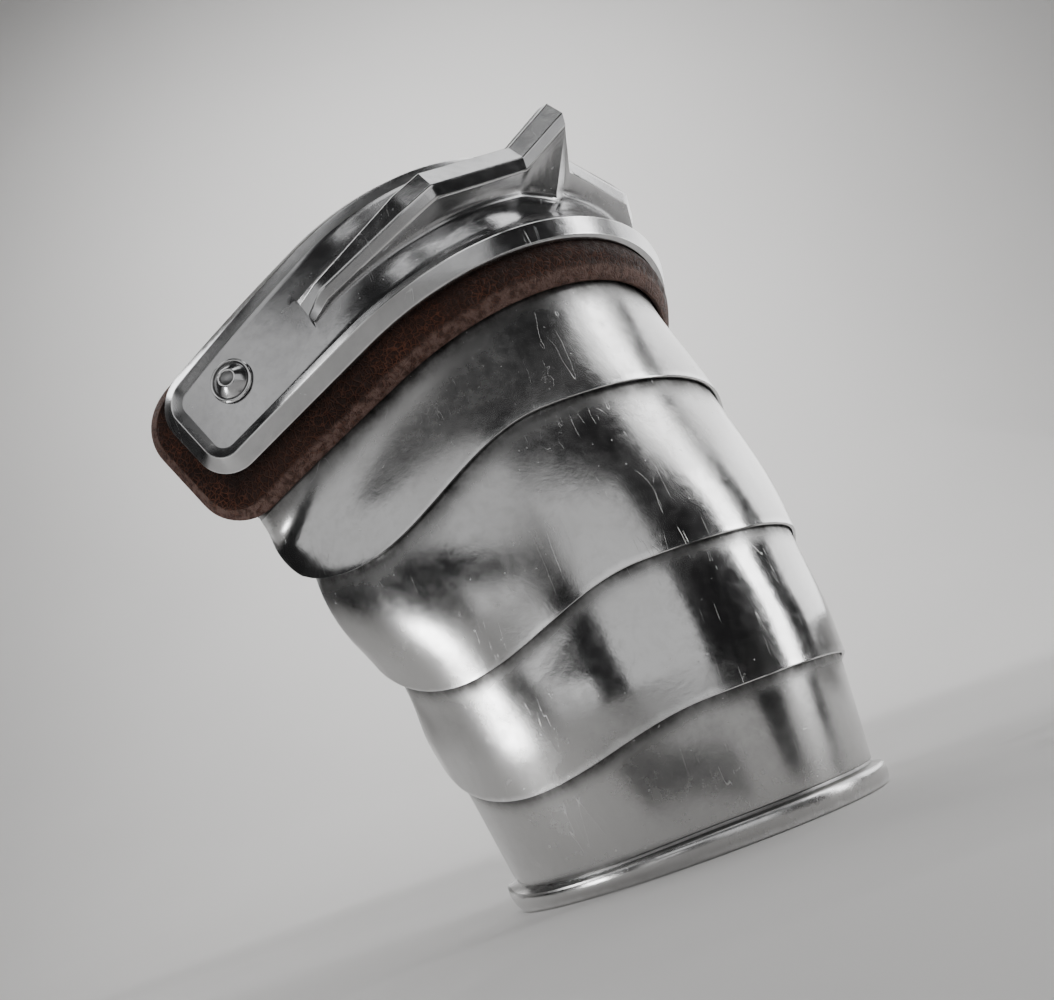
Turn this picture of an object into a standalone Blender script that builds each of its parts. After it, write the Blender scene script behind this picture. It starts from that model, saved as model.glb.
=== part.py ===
"""Shoulder armour: four overlapping steel lames under a padded leather collar and a crested shoulder band.

Metres, +Z up, standing on the cuff. +X is the outer side of the arm, the open side faces -X, and the
armour is the same in front (-Y) and behind (+Y). The origin lies on the floor under the middle of its box.

A run is a length along a hem or the band, from the outer point, negative behind and positive in front.
"""

import math

import bpy
import numpy as np

# Cuff, shoulder and the hems between them
CUFF_RADIUS = 0.0754
SHOULDER_RADIUS = 0.1035
SHOULDER_HEIGHT = 0.1515
SHOULDER_SETBACK = 0.041
SHOULDER_LEAN = 11.2
LOBE_DROP = 0.018
CORNER_LIFT = 0.041

# Lame sheet
LAME_WALL = 0.0015
LAME_CLEARANCE = 0.0006
LAME_OVERLAP = 0.012
FREE_EDGE_NARROWING = 0.022
LOBE_TRIM = 0.007
CORNER_CUT_RUN = 0.009
CORNER_CUT_HEIGHT = 0.016
COLLAR_TUCK = 0.018
COLLAR_TRIM = 0.003

# Rolled lip round the cuff
LIP_STAND = 0.0048
LIP_HEIGHT = 0.0078
LIP_CHAMFER = 0.0016

# Shoulder band
BAND_HEIGHT = 0.1965
BAND_SETBACK = 0.0335
BAND_RADIUS = 0.0975
BAND_ARC = 64.5
BAND_LEG = 0.077
BAND_LEAN = 23.5
BAND_MID_WIDTH = 0.0685
BAND_END_WIDTH = 0.047
BAND_MID_TILT = 12.5
BAND_END_TILT = -9.5
BAND_END_SKEW = 0.08
BAND_CORNER = 0.015
BAND_EDGE = 0.0026
BAND_PLATE = 0.0024
RIM_BEVEL = 0.0058
RIM_RISE = 0.0046
FIELD_INSET = 0.0100
FIELD_LIFT = 0.0030

# Crest along the middle of the band
CREST_TOP_WIDTH = 0.0094
CREST_TOE_WIDTH = 0.0042
CREST_END_WIDTH = 0.0060
CREST_CHAMFER = 0.0036
CREST_FOOT_BLEND = 0.0034
CREST_TOE_RUN = 0.1085
CREST_KINK_RUN = 0.0680
CREST_PEAK_RUN = 0.0558
SPIKE_FOOT_RUN = 0.0142
SPIKE_FLARE = 0.0050
CREST_BACK_SHIFT = 0.0045
CREST_TOE_HEIGHT = 0.0050
CREST_KINK_HEIGHT = 0.0108
CREST_PEAK_HEIGHT = 0.0142
CREST_BAR_HEIGHT = 0.0136
SPIKE_HEIGHT = 0.0315
CREST_TOE_SLOPE = 0.0095
CREST_ROOT = 0.0012

# Leather collar under the band
LEATHER_THICKNESS = 0.0045
LEATHER_BEVEL = 0.0042
LEATHER_BELOW = 0.0160
LEATHER_BEND = 0.0092
LEATHER_ABOVE = 0.0034
LEATHER_BEYOND_END = 0.0122
LEATHER_CORNER = 0.020
SEAT_GAP = 0.0004

# Rivets that hold the band to the leather
RIVET_RUN = 0.1562
RIVET_RADIUS = 0.0088
RIVET_HEIGHT = 0.0046
RIVET_SHANK_RADIUS = 0.0024
RIVET_TAIL_RADIUS = 0.0048
RIVET_TAIL_HEIGHT = 0.0016
RIVET_CLEARANCE = 0.0003

# How finely the curved sheets are divided
LAME_COLUMNS = 42
LAME_ROWS = 5
BAND_COLUMNS = 38
CORNER_STEPS = 5
CREST_STEP = 0.009
RIVET_SIDES = 24
HOLE_SIDES = 16

# One row for each hem, from the cuff up. Heights are shares of SHOULDER_HEIGHT, setbacks of
# SHOULDER_SETBACK, radii of the way from CUFF_RADIUS to SHOULDER_RADIUS, legs of the hem's own radius,
# leans of SHOULDER_LEAN, drops of LOBE_DROP, lifts of CORNER_LIFT, and trims of LOBE_TRIM and
# CORNER_CUT_RUN. The low point is a share of the run.
HEM_COLUMNS = ("height", "setback", "radius", "arc", "leg", "lean", "drop", "low_point", "lift", "trim")
HEM_ROWS = (
    (0.000, 0.00, 0.000, 129.0, 0.305, 0.000, 0.00, 0.61, 0.000, 0.0),
    (0.311, 0.15, 0.245, 121.0, 0.163, 0.270, 0.46, 0.61, 0.815, 0.8),
    (0.634, 0.41, 0.555, 114.0, 0.083, 0.475, 0.74, 0.65, 0.866, 0.9),
    (1.000, 1.00, 1.000, 106.5, 0.024, 1.000, 1.00, 0.69, 0.740, 1.3),
)
HEMS = [dict(zip(HEM_COLUMNS, row)) for row in HEM_ROWS]
SHOULDER_PLACE = len(HEMS) - 1
COLLAR_PLACE = len(HEMS)

# The lobe starts to fall at this share of the run to its low point
LOBE_START = 0.42

# How far the top lame has turned to the collar's slope where it goes under the leather, and its half run
# there as a share of the collar's
COLLAR_BLEND = 0.35
COLLAR_END_SHARE = 1.02

# Powers that shape the free edge between two hems, the closing of the rows at a hem, and the leather's
# bend below the band
FREE_EDGE_CURVE = 1.6
ROW_CLOSING = 1.4
LEATHER_CURVE = 1.4

# The smallest an inset corner gets, as a share of the outer corner
LEAST_CORNER = 0.3

# The back of the band turns up at these shares of its bevel and of its rise
BACK_TURN = 0.35
BACK_RISE = 0.40

# Height of the leather's straight edge, as a share of its thickness
LEATHER_EDGE = 0.40

# Rows of the leather, as shares of its width from the lower edge
LEATHER_ROWS = (0.0, 0.06, 0.12, 0.20, 1.0)

# The crest's foot stands at these shares of the band's width, and it leans up by this share of its height.
# Its chamfer and its spreading foot are at most these shares of its height.
CREST_MID_CENTRE = 0.569
CREST_TOE_CENTRE = 0.50
CREST_LEAN = 0.08
CREST_CHAMFER_SHARE = 0.55
CREST_FOOT_SHARE = 0.60
CREST_TOE_END = 0.40

# The curve of the crest's foot, as reaches and heights in shares of its spread
CREST_FOOT_CURVE = ((0.30, 0.15), (0.05, 0.45))

# The rivets stand at this share of the band's width
RIVET_PLACE = 0.565

# The rivet's head, from its rim to its button, as shares of RIVET_RADIUS and of RIVET_HEIGHT
RIVET_HEAD = ((1.00, 0.20), (0.90, 0.30), (0.42, 1.00), (0.34, 1.00), (0.30, 0.86), (0.00, 0.86))

BAND_HALF_RUN = BAND_RADIUS * math.radians(BAND_ARC) + BAND_LEG
LEATHER_TOP = -BAND_EDGE - SEAT_GAP
LEATHER_BASE = LEATHER_TOP - LEATHER_THICKNESS
COLLAR_LIFT = LEATHER_BASE - SEAT_GAP
COLLAR_RUN = BAND_HALF_RUN - COLLAR_TRIM


def clear_scene():
    """Remove every object that is already in the scene."""
    for obj in list(bpy.data.objects):
        bpy.data.objects.remove(obj)


def make_material(name, colour, roughness, metallic):
    """Return a Principled BSDF material of one colour."""
    material = bpy.data.materials.new(name)
    material.use_nodes = True
    shader = material.node_tree.nodes["Principled BSDF"]
    shader.inputs["Base Color"].default_value = (*colour, 1.0)
    shader.inputs["Roughness"].default_value = roughness
    shader.inputs["Metallic"].default_value = metallic
    return material


def make_object(name, points, faces, material, parent):
    """Return a smooth-shaded mesh object with the given points and faces."""
    mesh = bpy.data.meshes.new(name)
    mesh.from_pydata([tuple(map(float, point)) for point in points], [], faces)
    mesh.validate()
    mesh.shade_smooth()
    mesh.set_sharp_from_angle(angle=math.radians(30))
    mesh.materials.append(material)
    obj = bpy.data.objects.new(name, mesh)
    bpy.context.scene.collection.objects.link(obj)
    obj.parent = parent
    return obj


def trace_arc_and_leg(run, radius, arc):
    """Return flat points, forward tangents and outward normals at each run of an arc with straight legs.

    The arc spans the angle on both sides of the outer point, and each leg goes on straight from its end.
    """
    run = np.asarray(run, float)
    side = np.where(run < 0, -1.0, 1.0)
    length = np.abs(run)
    turn = np.minimum(length / radius, math.radians(arc))
    beyond = np.maximum(length - radius * math.radians(arc), 0.0)
    tangent = np.stack([-np.sin(turn), -np.cos(turn)], -1)
    normal = np.stack([np.cos(turn), -np.sin(turn)], -1)
    flat = radius * normal + beyond[:, None] * tangent
    mirror = np.stack([np.ones_like(side), side], -1)
    return flat * mirror, tangent * mirror, normal * mirror


def leaning_axes(lean):
    """Return the outward, sideways and upward axes of a plane that leans in over the shoulder."""
    angle = math.radians(lean)
    outward = np.array([math.cos(angle), 0.0, math.sin(angle)])
    upward = np.array([-math.sin(angle), 0.0, math.cos(angle)])
    return outward, np.array([0.0, 1.0, 0.0]), upward


def hem_half_run(hem):
    """Return the length of a hem from its outer point to its free edge."""
    radius = hem_radius(hem)
    return radius * math.radians(hem["arc"]) + hem["leg"] * radius


def hem_radius(hem):
    """Return the radius of a hem's arc."""
    return CUFF_RADIUS + hem["radius"] * (SHOULDER_RADIUS - CUFF_RADIUS)


def hem_points(hem, shares):
    """Return a hem's points at shares of its half run: flat middle, low lobe and raised corner."""
    radius = hem_radius(hem)
    flat, _, _ = trace_arc_and_leg(shares * hem_half_run(hem), radius, hem["arc"])
    outward, sideways, upward = leaning_axes(hem["lean"] * SHOULDER_LEAN)
    share = np.abs(shares)
    low = hem["low_point"]
    start = LOBE_START * low
    drop = hem["drop"] * LOBE_DROP
    falling = np.clip((share - start) / (low - start), 0.0, 1.0)
    rising = np.maximum(share - low, 0.0) / (1.0 - low)
    wave = -0.5 * drop * (1.0 - np.cos(math.pi * falling)) + hem["lift"] * CORNER_LIFT * rising**2
    centre = np.array([-hem["setback"] * SHOULDER_SETBACK, 0.0, hem["height"] * SHOULDER_HEIGHT])
    return centre + flat[:, :1] * outward + flat[:, 1:] * sideways + wave[:, None] * upward


def band_width(run):
    """Return the band's width at each run, wide over the shoulder and narrow at the ends."""
    share = np.clip(np.abs(run) / BAND_HALF_RUN, 0.0, 1.0)
    return BAND_END_WIDTH + (BAND_MID_WIDTH - BAND_END_WIDTH) * np.cos(0.5 * math.pi * share)


def band_frame(run):
    """Return the lower edge's point and the forward, across and outward directions at each run."""
    run = np.atleast_1d(np.asarray(run, float))
    flat, tangent, normal = trace_arc_and_leg(run, BAND_RADIUS, BAND_ARC)
    share = np.clip(np.abs(run) / BAND_HALF_RUN, 0.0, 1.0)
    tilt = np.radians(BAND_END_TILT + (BAND_MID_TILT - BAND_END_TILT) * np.cos(0.5 * math.pi * share))
    outward, sideways, upward = leaning_axes(BAND_LEAN)
    centre = np.array([-BAND_SETBACK, 0.0, BAND_HEIGHT])
    foot = centre + flat[:, :1] * outward + flat[:, 1:] * sideways
    forward = tangent[:, :1] * outward + tangent[:, 1:] * sideways
    level = normal[:, :1] * outward + normal[:, 1:] * sideways
    across = np.cos(tilt)[:, None] * upward - np.sin(tilt)[:, None] * level
    face = np.cos(tilt)[:, None] * level + np.sin(tilt)[:, None] * upward
    skewed = across + BAND_END_SKEW * (share**2)[:, None] * forward
    return foot, forward, skewed, face


def band_points(run, across, lift):
    """Return points of the band at each run, a distance up its face and a lift off it."""
    foot, _, upward, face = band_frame(run)
    run = np.atleast_1d(run)
    across = np.broadcast_to(across, run.shape)[:, None]
    lift = np.broadcast_to(lift, run.shape)[:, None]
    return foot + across * upward + lift * face


def leather_points(run, across, lift):
    """Return points of the leather, which follows the band's face and bends in below its lower edge."""
    foot, _, upward, face = band_frame(run)
    run = np.atleast_1d(run)
    across = np.broadcast_to(across, run.shape)
    share = np.clip(np.abs(run) / BAND_HALF_RUN, 0.0, 1.0)
    bend = LEATHER_BEND * np.cos(0.5 * math.pi * share**2)
    below = np.maximum(-across, 0.0) / LEATHER_BELOW
    sink = bend * below**LEATHER_CURVE
    slope = bend * LEATHER_CURVE * below ** (LEATHER_CURVE - 1.0) / LEATHER_BELOW
    normal = (face - slope[:, None] * upward) / np.sqrt(1.0 + slope**2)[:, None]
    lift = np.broadcast_to(lift, run.shape)[:, None]
    return foot + across[:, None] * upward - sink[:, None] * face + lift * normal


def skin_points(place, shares):
    """Return points of the smooth skin that all the lames follow.

    Place counts the hems from the cuff, and goes on past the last hem under the leather collar.
    """
    runs = shares * COLLAR_RUN
    if place >= COLLAR_PLACE:
        tucked = -LEATHER_BELOW + (place - COLLAR_PLACE) * COLLAR_TUCK
        return leather_points(runs, tucked, COLLAR_LIFT)
    knots = [hem_points(hem, shares) for hem in HEMS]
    knots.append(leather_points(runs, -LEATHER_BELOW, COLLAR_LIFT))
    knots.append(leather_points(runs, -LEATHER_BELOW + COLLAR_TUCK, COLLAR_LIFT))
    knots = np.array(knots)
    steps = np.diff(knots, axis=0)
    lengths = np.linalg.norm(steps, axis=2, keepdims=True)
    slopes = steps / lengths
    tangents = np.empty_like(knots[:-1])
    tangents[0] = slopes[0]
    tangents[1:] = (slopes[:-1] * lengths[1:] + slopes[1:] * lengths[:-1]) / (lengths[:-1] + lengths[1:])
    tangents[-1] = COLLAR_BLEND * slopes[-1] + (1.0 - COLLAR_BLEND) * slopes[-2]
    index = min(int(place), COLLAR_PLACE - 1)
    t = place - index
    leaving = lengths[index] * tangents[index]
    arriving = lengths[index] * tangents[index + 1]
    start = (2 * t**3 - 3 * t**2 + 1) * knots[index] + (t**3 - 2 * t**2 + t) * leaving
    end = (3 * t**2 - 2 * t**3) * knots[index + 1] + (t**3 - t**2) * arriving
    return start + end


def skin_normals(place, shares):
    """Return the outward normals of the skin."""
    step = 0.01
    along = skin_points(place + step, shares) - skin_points(max(place - step, 0.0), shares)
    round_it = skin_points(place, shares + step) - skin_points(place, shares - step)
    normal = np.cross(along, round_it)
    return normal / np.linalg.norm(normal, axis=1, keepdims=True)


def joined_sheet(outer, inner):
    """Return points and faces of a closed sheet between two grids of the same size."""
    rows, columns = outer.shape[:2]
    points = np.concatenate([outer.reshape(-1, 3), inner.reshape(-1, 3)])
    shift = rows * columns

    def index(row, column, layer):
        return layer * shift + row * columns + column

    faces = []
    for row in range(rows - 1):
        for column in range(columns - 1):
            square = [(row, column), (row, column + 1), (row + 1, column + 1), (row + 1, column)]
            faces.append([index(r, c, 0) for r, c in square])
            faces.append([index(r, c, 1) for r, c in reversed(square)])
    border = grid_border(rows, columns)
    for here, there in zip(border, border[1:] + border[:1]):
        faces.append([index(*there, 0), index(*here, 0), index(*here, 1), index(*there, 1)])
    return points, faces


def hem_spacing(lower, upper):
    """Return the mean height between two hems."""
    return SHOULDER_HEIGHT * (HEMS[upper]["height"] - HEMS[lower]["height"])


def corner_cut(place, bottom, spacing):
    """Return the share that a lame's rounded lower corner takes off its half run at a place."""
    height = (place - bottom) * spacing
    below = 1.0 - np.clip(height / CORNER_CUT_HEIGHT, 0.0, 1.0)
    cut = HEMS[bottom]["trim"] * CORNER_CUT_RUN
    return cut / hem_half_run(HEMS[bottom]) * (1.0 - math.sqrt(1.0 - below**2))


def lame_stations(bottom):
    """Return the places, offsets and end shares of a lame's rows, from its hidden top to its hem.

    The sheet runs inside the lame above through the overlap, then steps out to the skin. Rows lie closer
    together towards the hem, where the lower corner is rounded.
    """
    top = bottom + 1
    under_collar = top == COLLAR_PLACE
    spacing = BAND_HEIGHT - SHOULDER_HEIGHT if under_collar else hem_spacing(bottom, top)
    rows = LAME_ROWS + 2 if under_collar else LAME_ROWS
    places = [bottom + (1.0 - row / rows) ** ROW_CLOSING for row in range(rows + 1)]
    if under_collar:
        hidden = 1.0
        narrow = COLLAR_END_SHARE
        step_in = 0.0
    else:
        above = BAND_HEIGHT - SHOULDER_HEIGHT if top == SHOULDER_PLACE else hem_spacing(top, top + 1)
        hidden = LAME_OVERLAP / above
        narrow = 1.0 - FREE_EDGE_NARROWING / hem_half_run(HEMS[top])
        step_in = LAME_WALL + LAME_CLEARANCE
    overlap = LAME_OVERLAP / spacing
    stations = []
    for place in [top + share * hidden for share in (1.0, 0.75, 0.5, 0.25)] + places:
        settle = np.clip((place - bottom - overlap) / (1.0 - overlap), 0.0, 1.0)
        offset = -step_in * settle * settle * (3.0 - 2.0 * settle)
        end = 1.0 - HEMS[bottom]["trim"] * LOBE_TRIM / hem_half_run(HEMS[bottom])
        share = narrow + (end - narrow) * np.clip(top - place, 0.0, 1.0) ** FREE_EDGE_CURVE
        stations.append((place, offset, share - corner_cut(place, bottom, spacing)))
    return stations


def lame_row(place, offset, end_share):
    """Return one row of points across a lame, offset along the skin's normals."""
    shares = np.linspace(-end_share, end_share, LAME_COLUMNS + 1)
    return skin_points(place, shares) + offset * skin_normals(place, shares)


def build_lame(name, bottom, material, parent):
    """Return one lame, a sheet that follows the skin from the hem above down to its own hem."""
    stations = lame_stations(bottom)
    outer = np.array([lame_row(*station) for station in stations])
    inner = np.array([lame_row(place, offset - LAME_WALL, share) for place, offset, share in stations])
    points, faces = joined_sheet(outer, inner)
    return make_object(name, points, faces, material, parent)


def build_cuff_lame(name, material, parent):
    """Return the lowest lame with its rolled lip, whose flat underside is what the armour stands on."""
    spacing = hem_spacing(0, 1)
    stations = lame_stations(0)
    step_in = LAME_WALL + LAME_CLEARANCE
    outer = []
    inner = []
    for place, _, share in stations:
        if place * spacing > LIP_HEIGHT + LIP_CHAMFER:
            sink = step_in + (LIP_STAND - step_in) * np.clip(1.0 - place, 0.0, 1.0)
            outer.append(lame_row(place, -sink, share))
            inner.append(lame_row(place, -sink - LAME_WALL, share))
    narrow = stations[0][2]
    lip = (
        (LIP_HEIGHT, LIP_STAND),
        (LIP_HEIGHT - LIP_CHAMFER, LIP_CHAMFER),
        (2.0 * LIP_CHAMFER, 0.0),
        (0.0, LIP_CHAMFER),
    )
    for height, sink in lip:
        share = narrow + (1.0 - narrow) * (1.0 - height / spacing)
        row_out = lame_row(height / spacing, -sink, share)
        row_in = lame_row(height / spacing, -LIP_STAND - LAME_WALL, share)
        if height == 0.0:
            row_out[:, 2] = 0.0
            row_in[:, 2] = 0.0
        outer.append(row_out)
        inner.append(row_in)
    points, faces = joined_sheet(np.array(outer), np.array(inner))
    return make_object(name, points, faces, material, parent)


def outline_runs(half_run, corner, inset):
    """Return the runs of a rounded strip's outline and how far each stands in from the straight edges."""
    reach = half_run - inset
    radius = max(corner - inset, LEAST_CORNER * corner)
    angles = np.linspace(0.0, 0.5 * math.pi, CORNER_STEPS + 1)
    corner_runs = reach - radius + radius * np.cos(angles)
    corner_rise = radius - radius * np.sin(angles)
    middle = np.linspace(reach - radius, -(reach - radius), BAND_COLUMNS + 1)[1:-1]
    runs = np.concatenate([corner_runs, middle, -corner_runs[::-1]])[::-1]
    rise = np.concatenate([corner_rise, np.zeros_like(middle), corner_rise[::-1]])[::-1]
    return runs, inset + rise


def grid_border(rows, columns):
    """Return the rows and columns round the border of a grid, in order."""
    border = [(0, column) for column in range(columns)]
    border += [(row, columns - 1) for row in range(1, rows)]
    border += [(rows - 1, column) for column in range(columns - 2, -1, -1)]
    border += [(row, 0) for row in range(rows - 2, 0, -1)]
    return border


def strip_solid(surface, size, edges, rings, row_shares):
    """Return points and faces of a closed rounded strip on a surface.

    Size is the half run and the corner radius, and edges are the lower and upper edge as functions of the
    run. Each ring is an inset and a lift, from the back over the edge to the face. The first and the last
    ring are filled with rows of quads at the shares given.
    """
    points = []
    faces = []
    loops = []
    for ring, (inset, lift) in enumerate(rings):
        runs, stand = outline_runs(*size, inset)
        low = edges[0](runs) + stand
        high = edges[1](runs) - stand
        grid = [surface(runs, low + share * (high - low), lift) for share in row_shares]
        border = grid_border(len(grid), len(runs))
        filled = ring in (0, len(rings) - 1)
        inner = [(row, column) for row in range(1, len(grid) - 1) for column in range(1, len(runs) - 1)]
        kept = border + inner if filled else border
        index = {spot: len(points) + order for order, spot in enumerate(kept)}
        points += [grid[row][column] for row, column in kept]
        loops.append([index[spot] for spot in border])
        if filled:
            for row in range(len(grid) - 1):
                for column in range(len(runs) - 1):
                    spots = [(row, column), (row, column + 1), (row + 1, column + 1), (row + 1, column)]
                    square = [index[spot] for spot in spots]
                    faces.append(square[::-1] if ring == 0 else square)
    for first, second in zip(loops, loops[1:]):
        for here in range(len(first)):
            there = (here + 1) % len(first)
            faces.append([first[here], first[there], second[there], second[here]])
    return points, faces


def crest_keys():
    """Return runs, heights, top widths and flares of the foot at the crest's corners, from the rear toe."""
    half = [
        (0.0, SPIKE_HEIGHT, CREST_TOP_WIDTH, SPIKE_FLARE),
        (SPIKE_FOOT_RUN, CREST_BAR_HEIGHT, CREST_TOP_WIDTH, 0.0),
        (CREST_PEAK_RUN, CREST_PEAK_HEIGHT, CREST_TOP_WIDTH, 0.0),
        (CREST_KINK_RUN, CREST_KINK_HEIGHT, CREST_TOP_WIDTH, 0.0),
        (CREST_TOE_RUN, CREST_TOE_HEIGHT, CREST_TOE_WIDTH, 0.0),
        (CREST_TOE_RUN + CREST_TOE_SLOPE, CREST_TOE_END * CREST_TOE_HEIGHT, CREST_END_WIDTH, 0.0),
    ]
    back = [(CREST_BACK_SHIFT - run, *sizes) for run, *sizes in half[:0:-1]]
    return [np.array(key) for key in back + half]


def crest_points(run, profile):
    """Return points of a crest profile of widths and lifts at one run."""
    share = abs(run) / CREST_TOE_RUN
    centre = float(band_width(run)) * (CREST_MID_CENTRE + (CREST_TOE_CENTRE - CREST_MID_CENTRE) * share)
    across = np.array([centre + width + CREST_LEAN * lift for width, lift in profile])
    lifts = np.array([FIELD_LIFT + lift for _, lift in profile])
    return band_points(np.full(len(profile), run), across, lifts)


def crest_top(key):
    """Return the four points of the crest's chamfered top at one key."""
    run, height, width, _ = key
    chamfer = min(CREST_CHAMFER, CREST_CHAMFER_SHARE * height)
    top = 0.5 * width
    side = top + CREST_CHAMFER
    half = [(side, height - chamfer), (top, height)]
    return crest_points(run, [(-width, lift) for width, lift in half] + half[::-1])


def crest_foot(key, side):
    """Return the four points of the crest's spreading foot on one side, from its root up."""
    run, height, top_width, flare = key
    width = 0.5 * top_width + CREST_CHAMFER + flare
    spread = min(CREST_FOOT_BLEND, CREST_FOOT_SHARE * height)
    half = [(width + spread, -CREST_ROOT), (width + spread, 0.0)]
    half += [(width + reach * spread, lift * spread) for reach, lift in CREST_FOOT_CURVE]
    return crest_points(run, [(side * reach, lift) for reach, lift in half])


def build_crest_shape(material, parent):
    """Return the crest as a solid rooted in the band: a chamfered bar on a curved foot."""
    rows = []
    keys = crest_keys()
    for key, next_key in zip(keys, keys[1:]):
        steps = max(1, round(abs(next_key[0] - key[0]) / CREST_STEP))
        here = crest_top(key)
        there = crest_top(next_key)
        last = next_key is keys[-1]
        for step in range(steps + last):
            share = step / steps
            between = key + share * (next_key - key)
            top = here + share * (there - here)
            rows.append(np.concatenate([crest_foot(between, -1), top, crest_foot(between, 1)[::-1]]))
    count = len(rows[0])
    points = np.concatenate(rows)
    faces = []
    for row in range(len(rows) - 1):
        for here in range(count):
            there = (here + 1) % count
            first = row * count
            second = first + count
            faces.append([first + there, first + here, second + here, second + there])
    faces.append(list(range(count)))
    faces.append(list(range((len(rows) - 1) * count, len(rows) * count))[::-1])
    crest = make_object("crest_shape", points, faces, material, parent)
    crest.hide_render = True
    crest.display_type = "WIRE"
    return crest


def add_boolean(obj, other, operation):
    """Give an object an exact Boolean with another."""
    modifier = obj.modifiers.new(f"{operation.title()} {other.name}", "BOOLEAN")
    modifier.operation = operation
    modifier.solver = "EXACT"
    modifier.object = other


def build_band(material, parent):
    """Return the band's plate: a bevelled rim round a recessed field, dished behind."""
    dish = FIELD_LIFT - BAND_PLATE
    rings = (
        (FIELD_INSET, dish),
        (RIM_BEVEL, -BAND_EDGE + BACK_RISE * RIM_RISE),
        (BACK_TURN * RIM_BEVEL, -BAND_EDGE),
        (0.0, -BAND_EDGE),
        (0.0, 0.0),
        (RIM_BEVEL, RIM_RISE),
        (FIELD_INSET, FIELD_LIFT),
    )
    edges = (lambda run: 0.0 * run, band_width)
    points, faces = strip_solid(band_points, (BAND_HALF_RUN, BAND_CORNER), edges, rings, (0.0, 1.0))
    band = make_object("shoulder_band", points, faces, material, parent)
    band.modifiers.new("Flat triangles", "TRIANGULATE")
    return band


def build_leather(material, parent):
    """Return the leather pad under the band, bevelled round its edge."""
    rings = (
        (LEATHER_BEVEL, LEATHER_BASE),
        (0.0, LEATHER_BASE),
        (0.0, LEATHER_BASE + LEATHER_EDGE * LEATHER_THICKNESS),
        (LEATHER_BEVEL, LEATHER_TOP),
    )
    size = (BAND_HALF_RUN + LEATHER_BEYOND_END, LEATHER_CORNER)
    edges = (lambda run: 0.0 * run - LEATHER_BELOW, lambda run: band_width(run) + LEATHER_ABOVE)
    points, faces = strip_solid(leather_points, size, edges, rings, LEATHER_ROWS)
    pad = make_object("leather_collar", points, faces, material, parent)
    pad.modifiers.new("Flat triangles", "TRIANGULATE")
    return pad


def turned_points(profile, run, sides):
    """Return points and faces of a profile turned round the band's outward direction at a run.

    The profile is a chain of radii and lifts over the field, from the bottom centre to the top centre.
    """
    middle = RIVET_PLACE * float(band_width(run))
    step = 0.001
    near, far = band_points(np.array([run - step, run + step]), middle, FIELD_LIFT)
    foot, _, across, face = (part[0] for part in band_frame(run))
    sideways = (far - near) / np.linalg.norm(far - near)
    outward = np.cross(sideways, across)
    outward *= np.sign(outward @ face) / np.linalg.norm(outward)
    upward = np.cross(outward, sideways)
    centre = foot + middle * across + FIELD_LIFT * face
    points = [centre + profile[0][1] * outward]
    for radius, lift in profile[1:-1]:
        for step in range(sides):
            angle = 2.0 * math.pi * step / sides
            ray = math.cos(angle) * sideways + math.sin(angle) * upward
            points.append(centre + radius * ray + lift * outward)
    points.append(centre + profile[-1][1] * outward)
    faces = []
    rings = len(profile) - 2
    for step in range(sides):
        after = (step + 1) % sides
        faces.append([0, 1 + after, 1 + step])
        for ring in range(rings - 1):
            low = 1 + ring * sides
            faces.append([low + step, low + after, low + sides + after, low + sides + step])
        top = 1 + (rings - 1) * sides
        faces.append([top + step, top + after, len(points) - 1])
    return points, faces


def build_rivet(name, run, material, parent):
    """Return a coned rivet with a flat button, a shank through band and leather, and a flat tail."""
    leather_back = LEATHER_BASE - FIELD_LIFT - SEAT_GAP
    profile = [
        (0.0, leather_back - RIVET_TAIL_HEIGHT),
        (RIVET_TAIL_RADIUS, leather_back - RIVET_TAIL_HEIGHT),
        (RIVET_TAIL_RADIUS, leather_back),
        (RIVET_SHANK_RADIUS, leather_back),
        (RIVET_SHANK_RADIUS, SEAT_GAP),
        (RIVET_RADIUS, SEAT_GAP),
    ]
    profile += [(reach * RIVET_RADIUS, SEAT_GAP + rise * RIVET_HEIGHT) for reach, rise in RIVET_HEAD]
    points, faces = turned_points(profile, run, RIVET_SIDES)
    return make_object(name, points, faces, material, parent)


def build_rivet_hole(name, run, material, parent):
    """Return a cylinder that clears a rivet's shank through band and leather."""
    radius = RIVET_SHANK_RADIUS + RIVET_CLEARANCE
    reach = 2.0 * LEATHER_THICKNESS + BAND_EDGE + FIELD_LIFT
    profile = ((0.0, -reach), (radius, -reach), (radius, reach), (0.0, reach))
    points, faces = turned_points(profile, run, HOLE_SIDES)
    hole = make_object(name, points, faces, material, parent)
    hole.hide_render = True
    hole.display_type = "WIRE"
    return hole


def stand_in_middle(stand, objects):
    """Shift the common parent so that the middle of the box round the objects is over the origin."""
    reach = [vertex.co.x for obj in objects for vertex in obj.data.vertices]
    stand.location.x = -0.5 * (min(reach) + max(reach))


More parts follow.
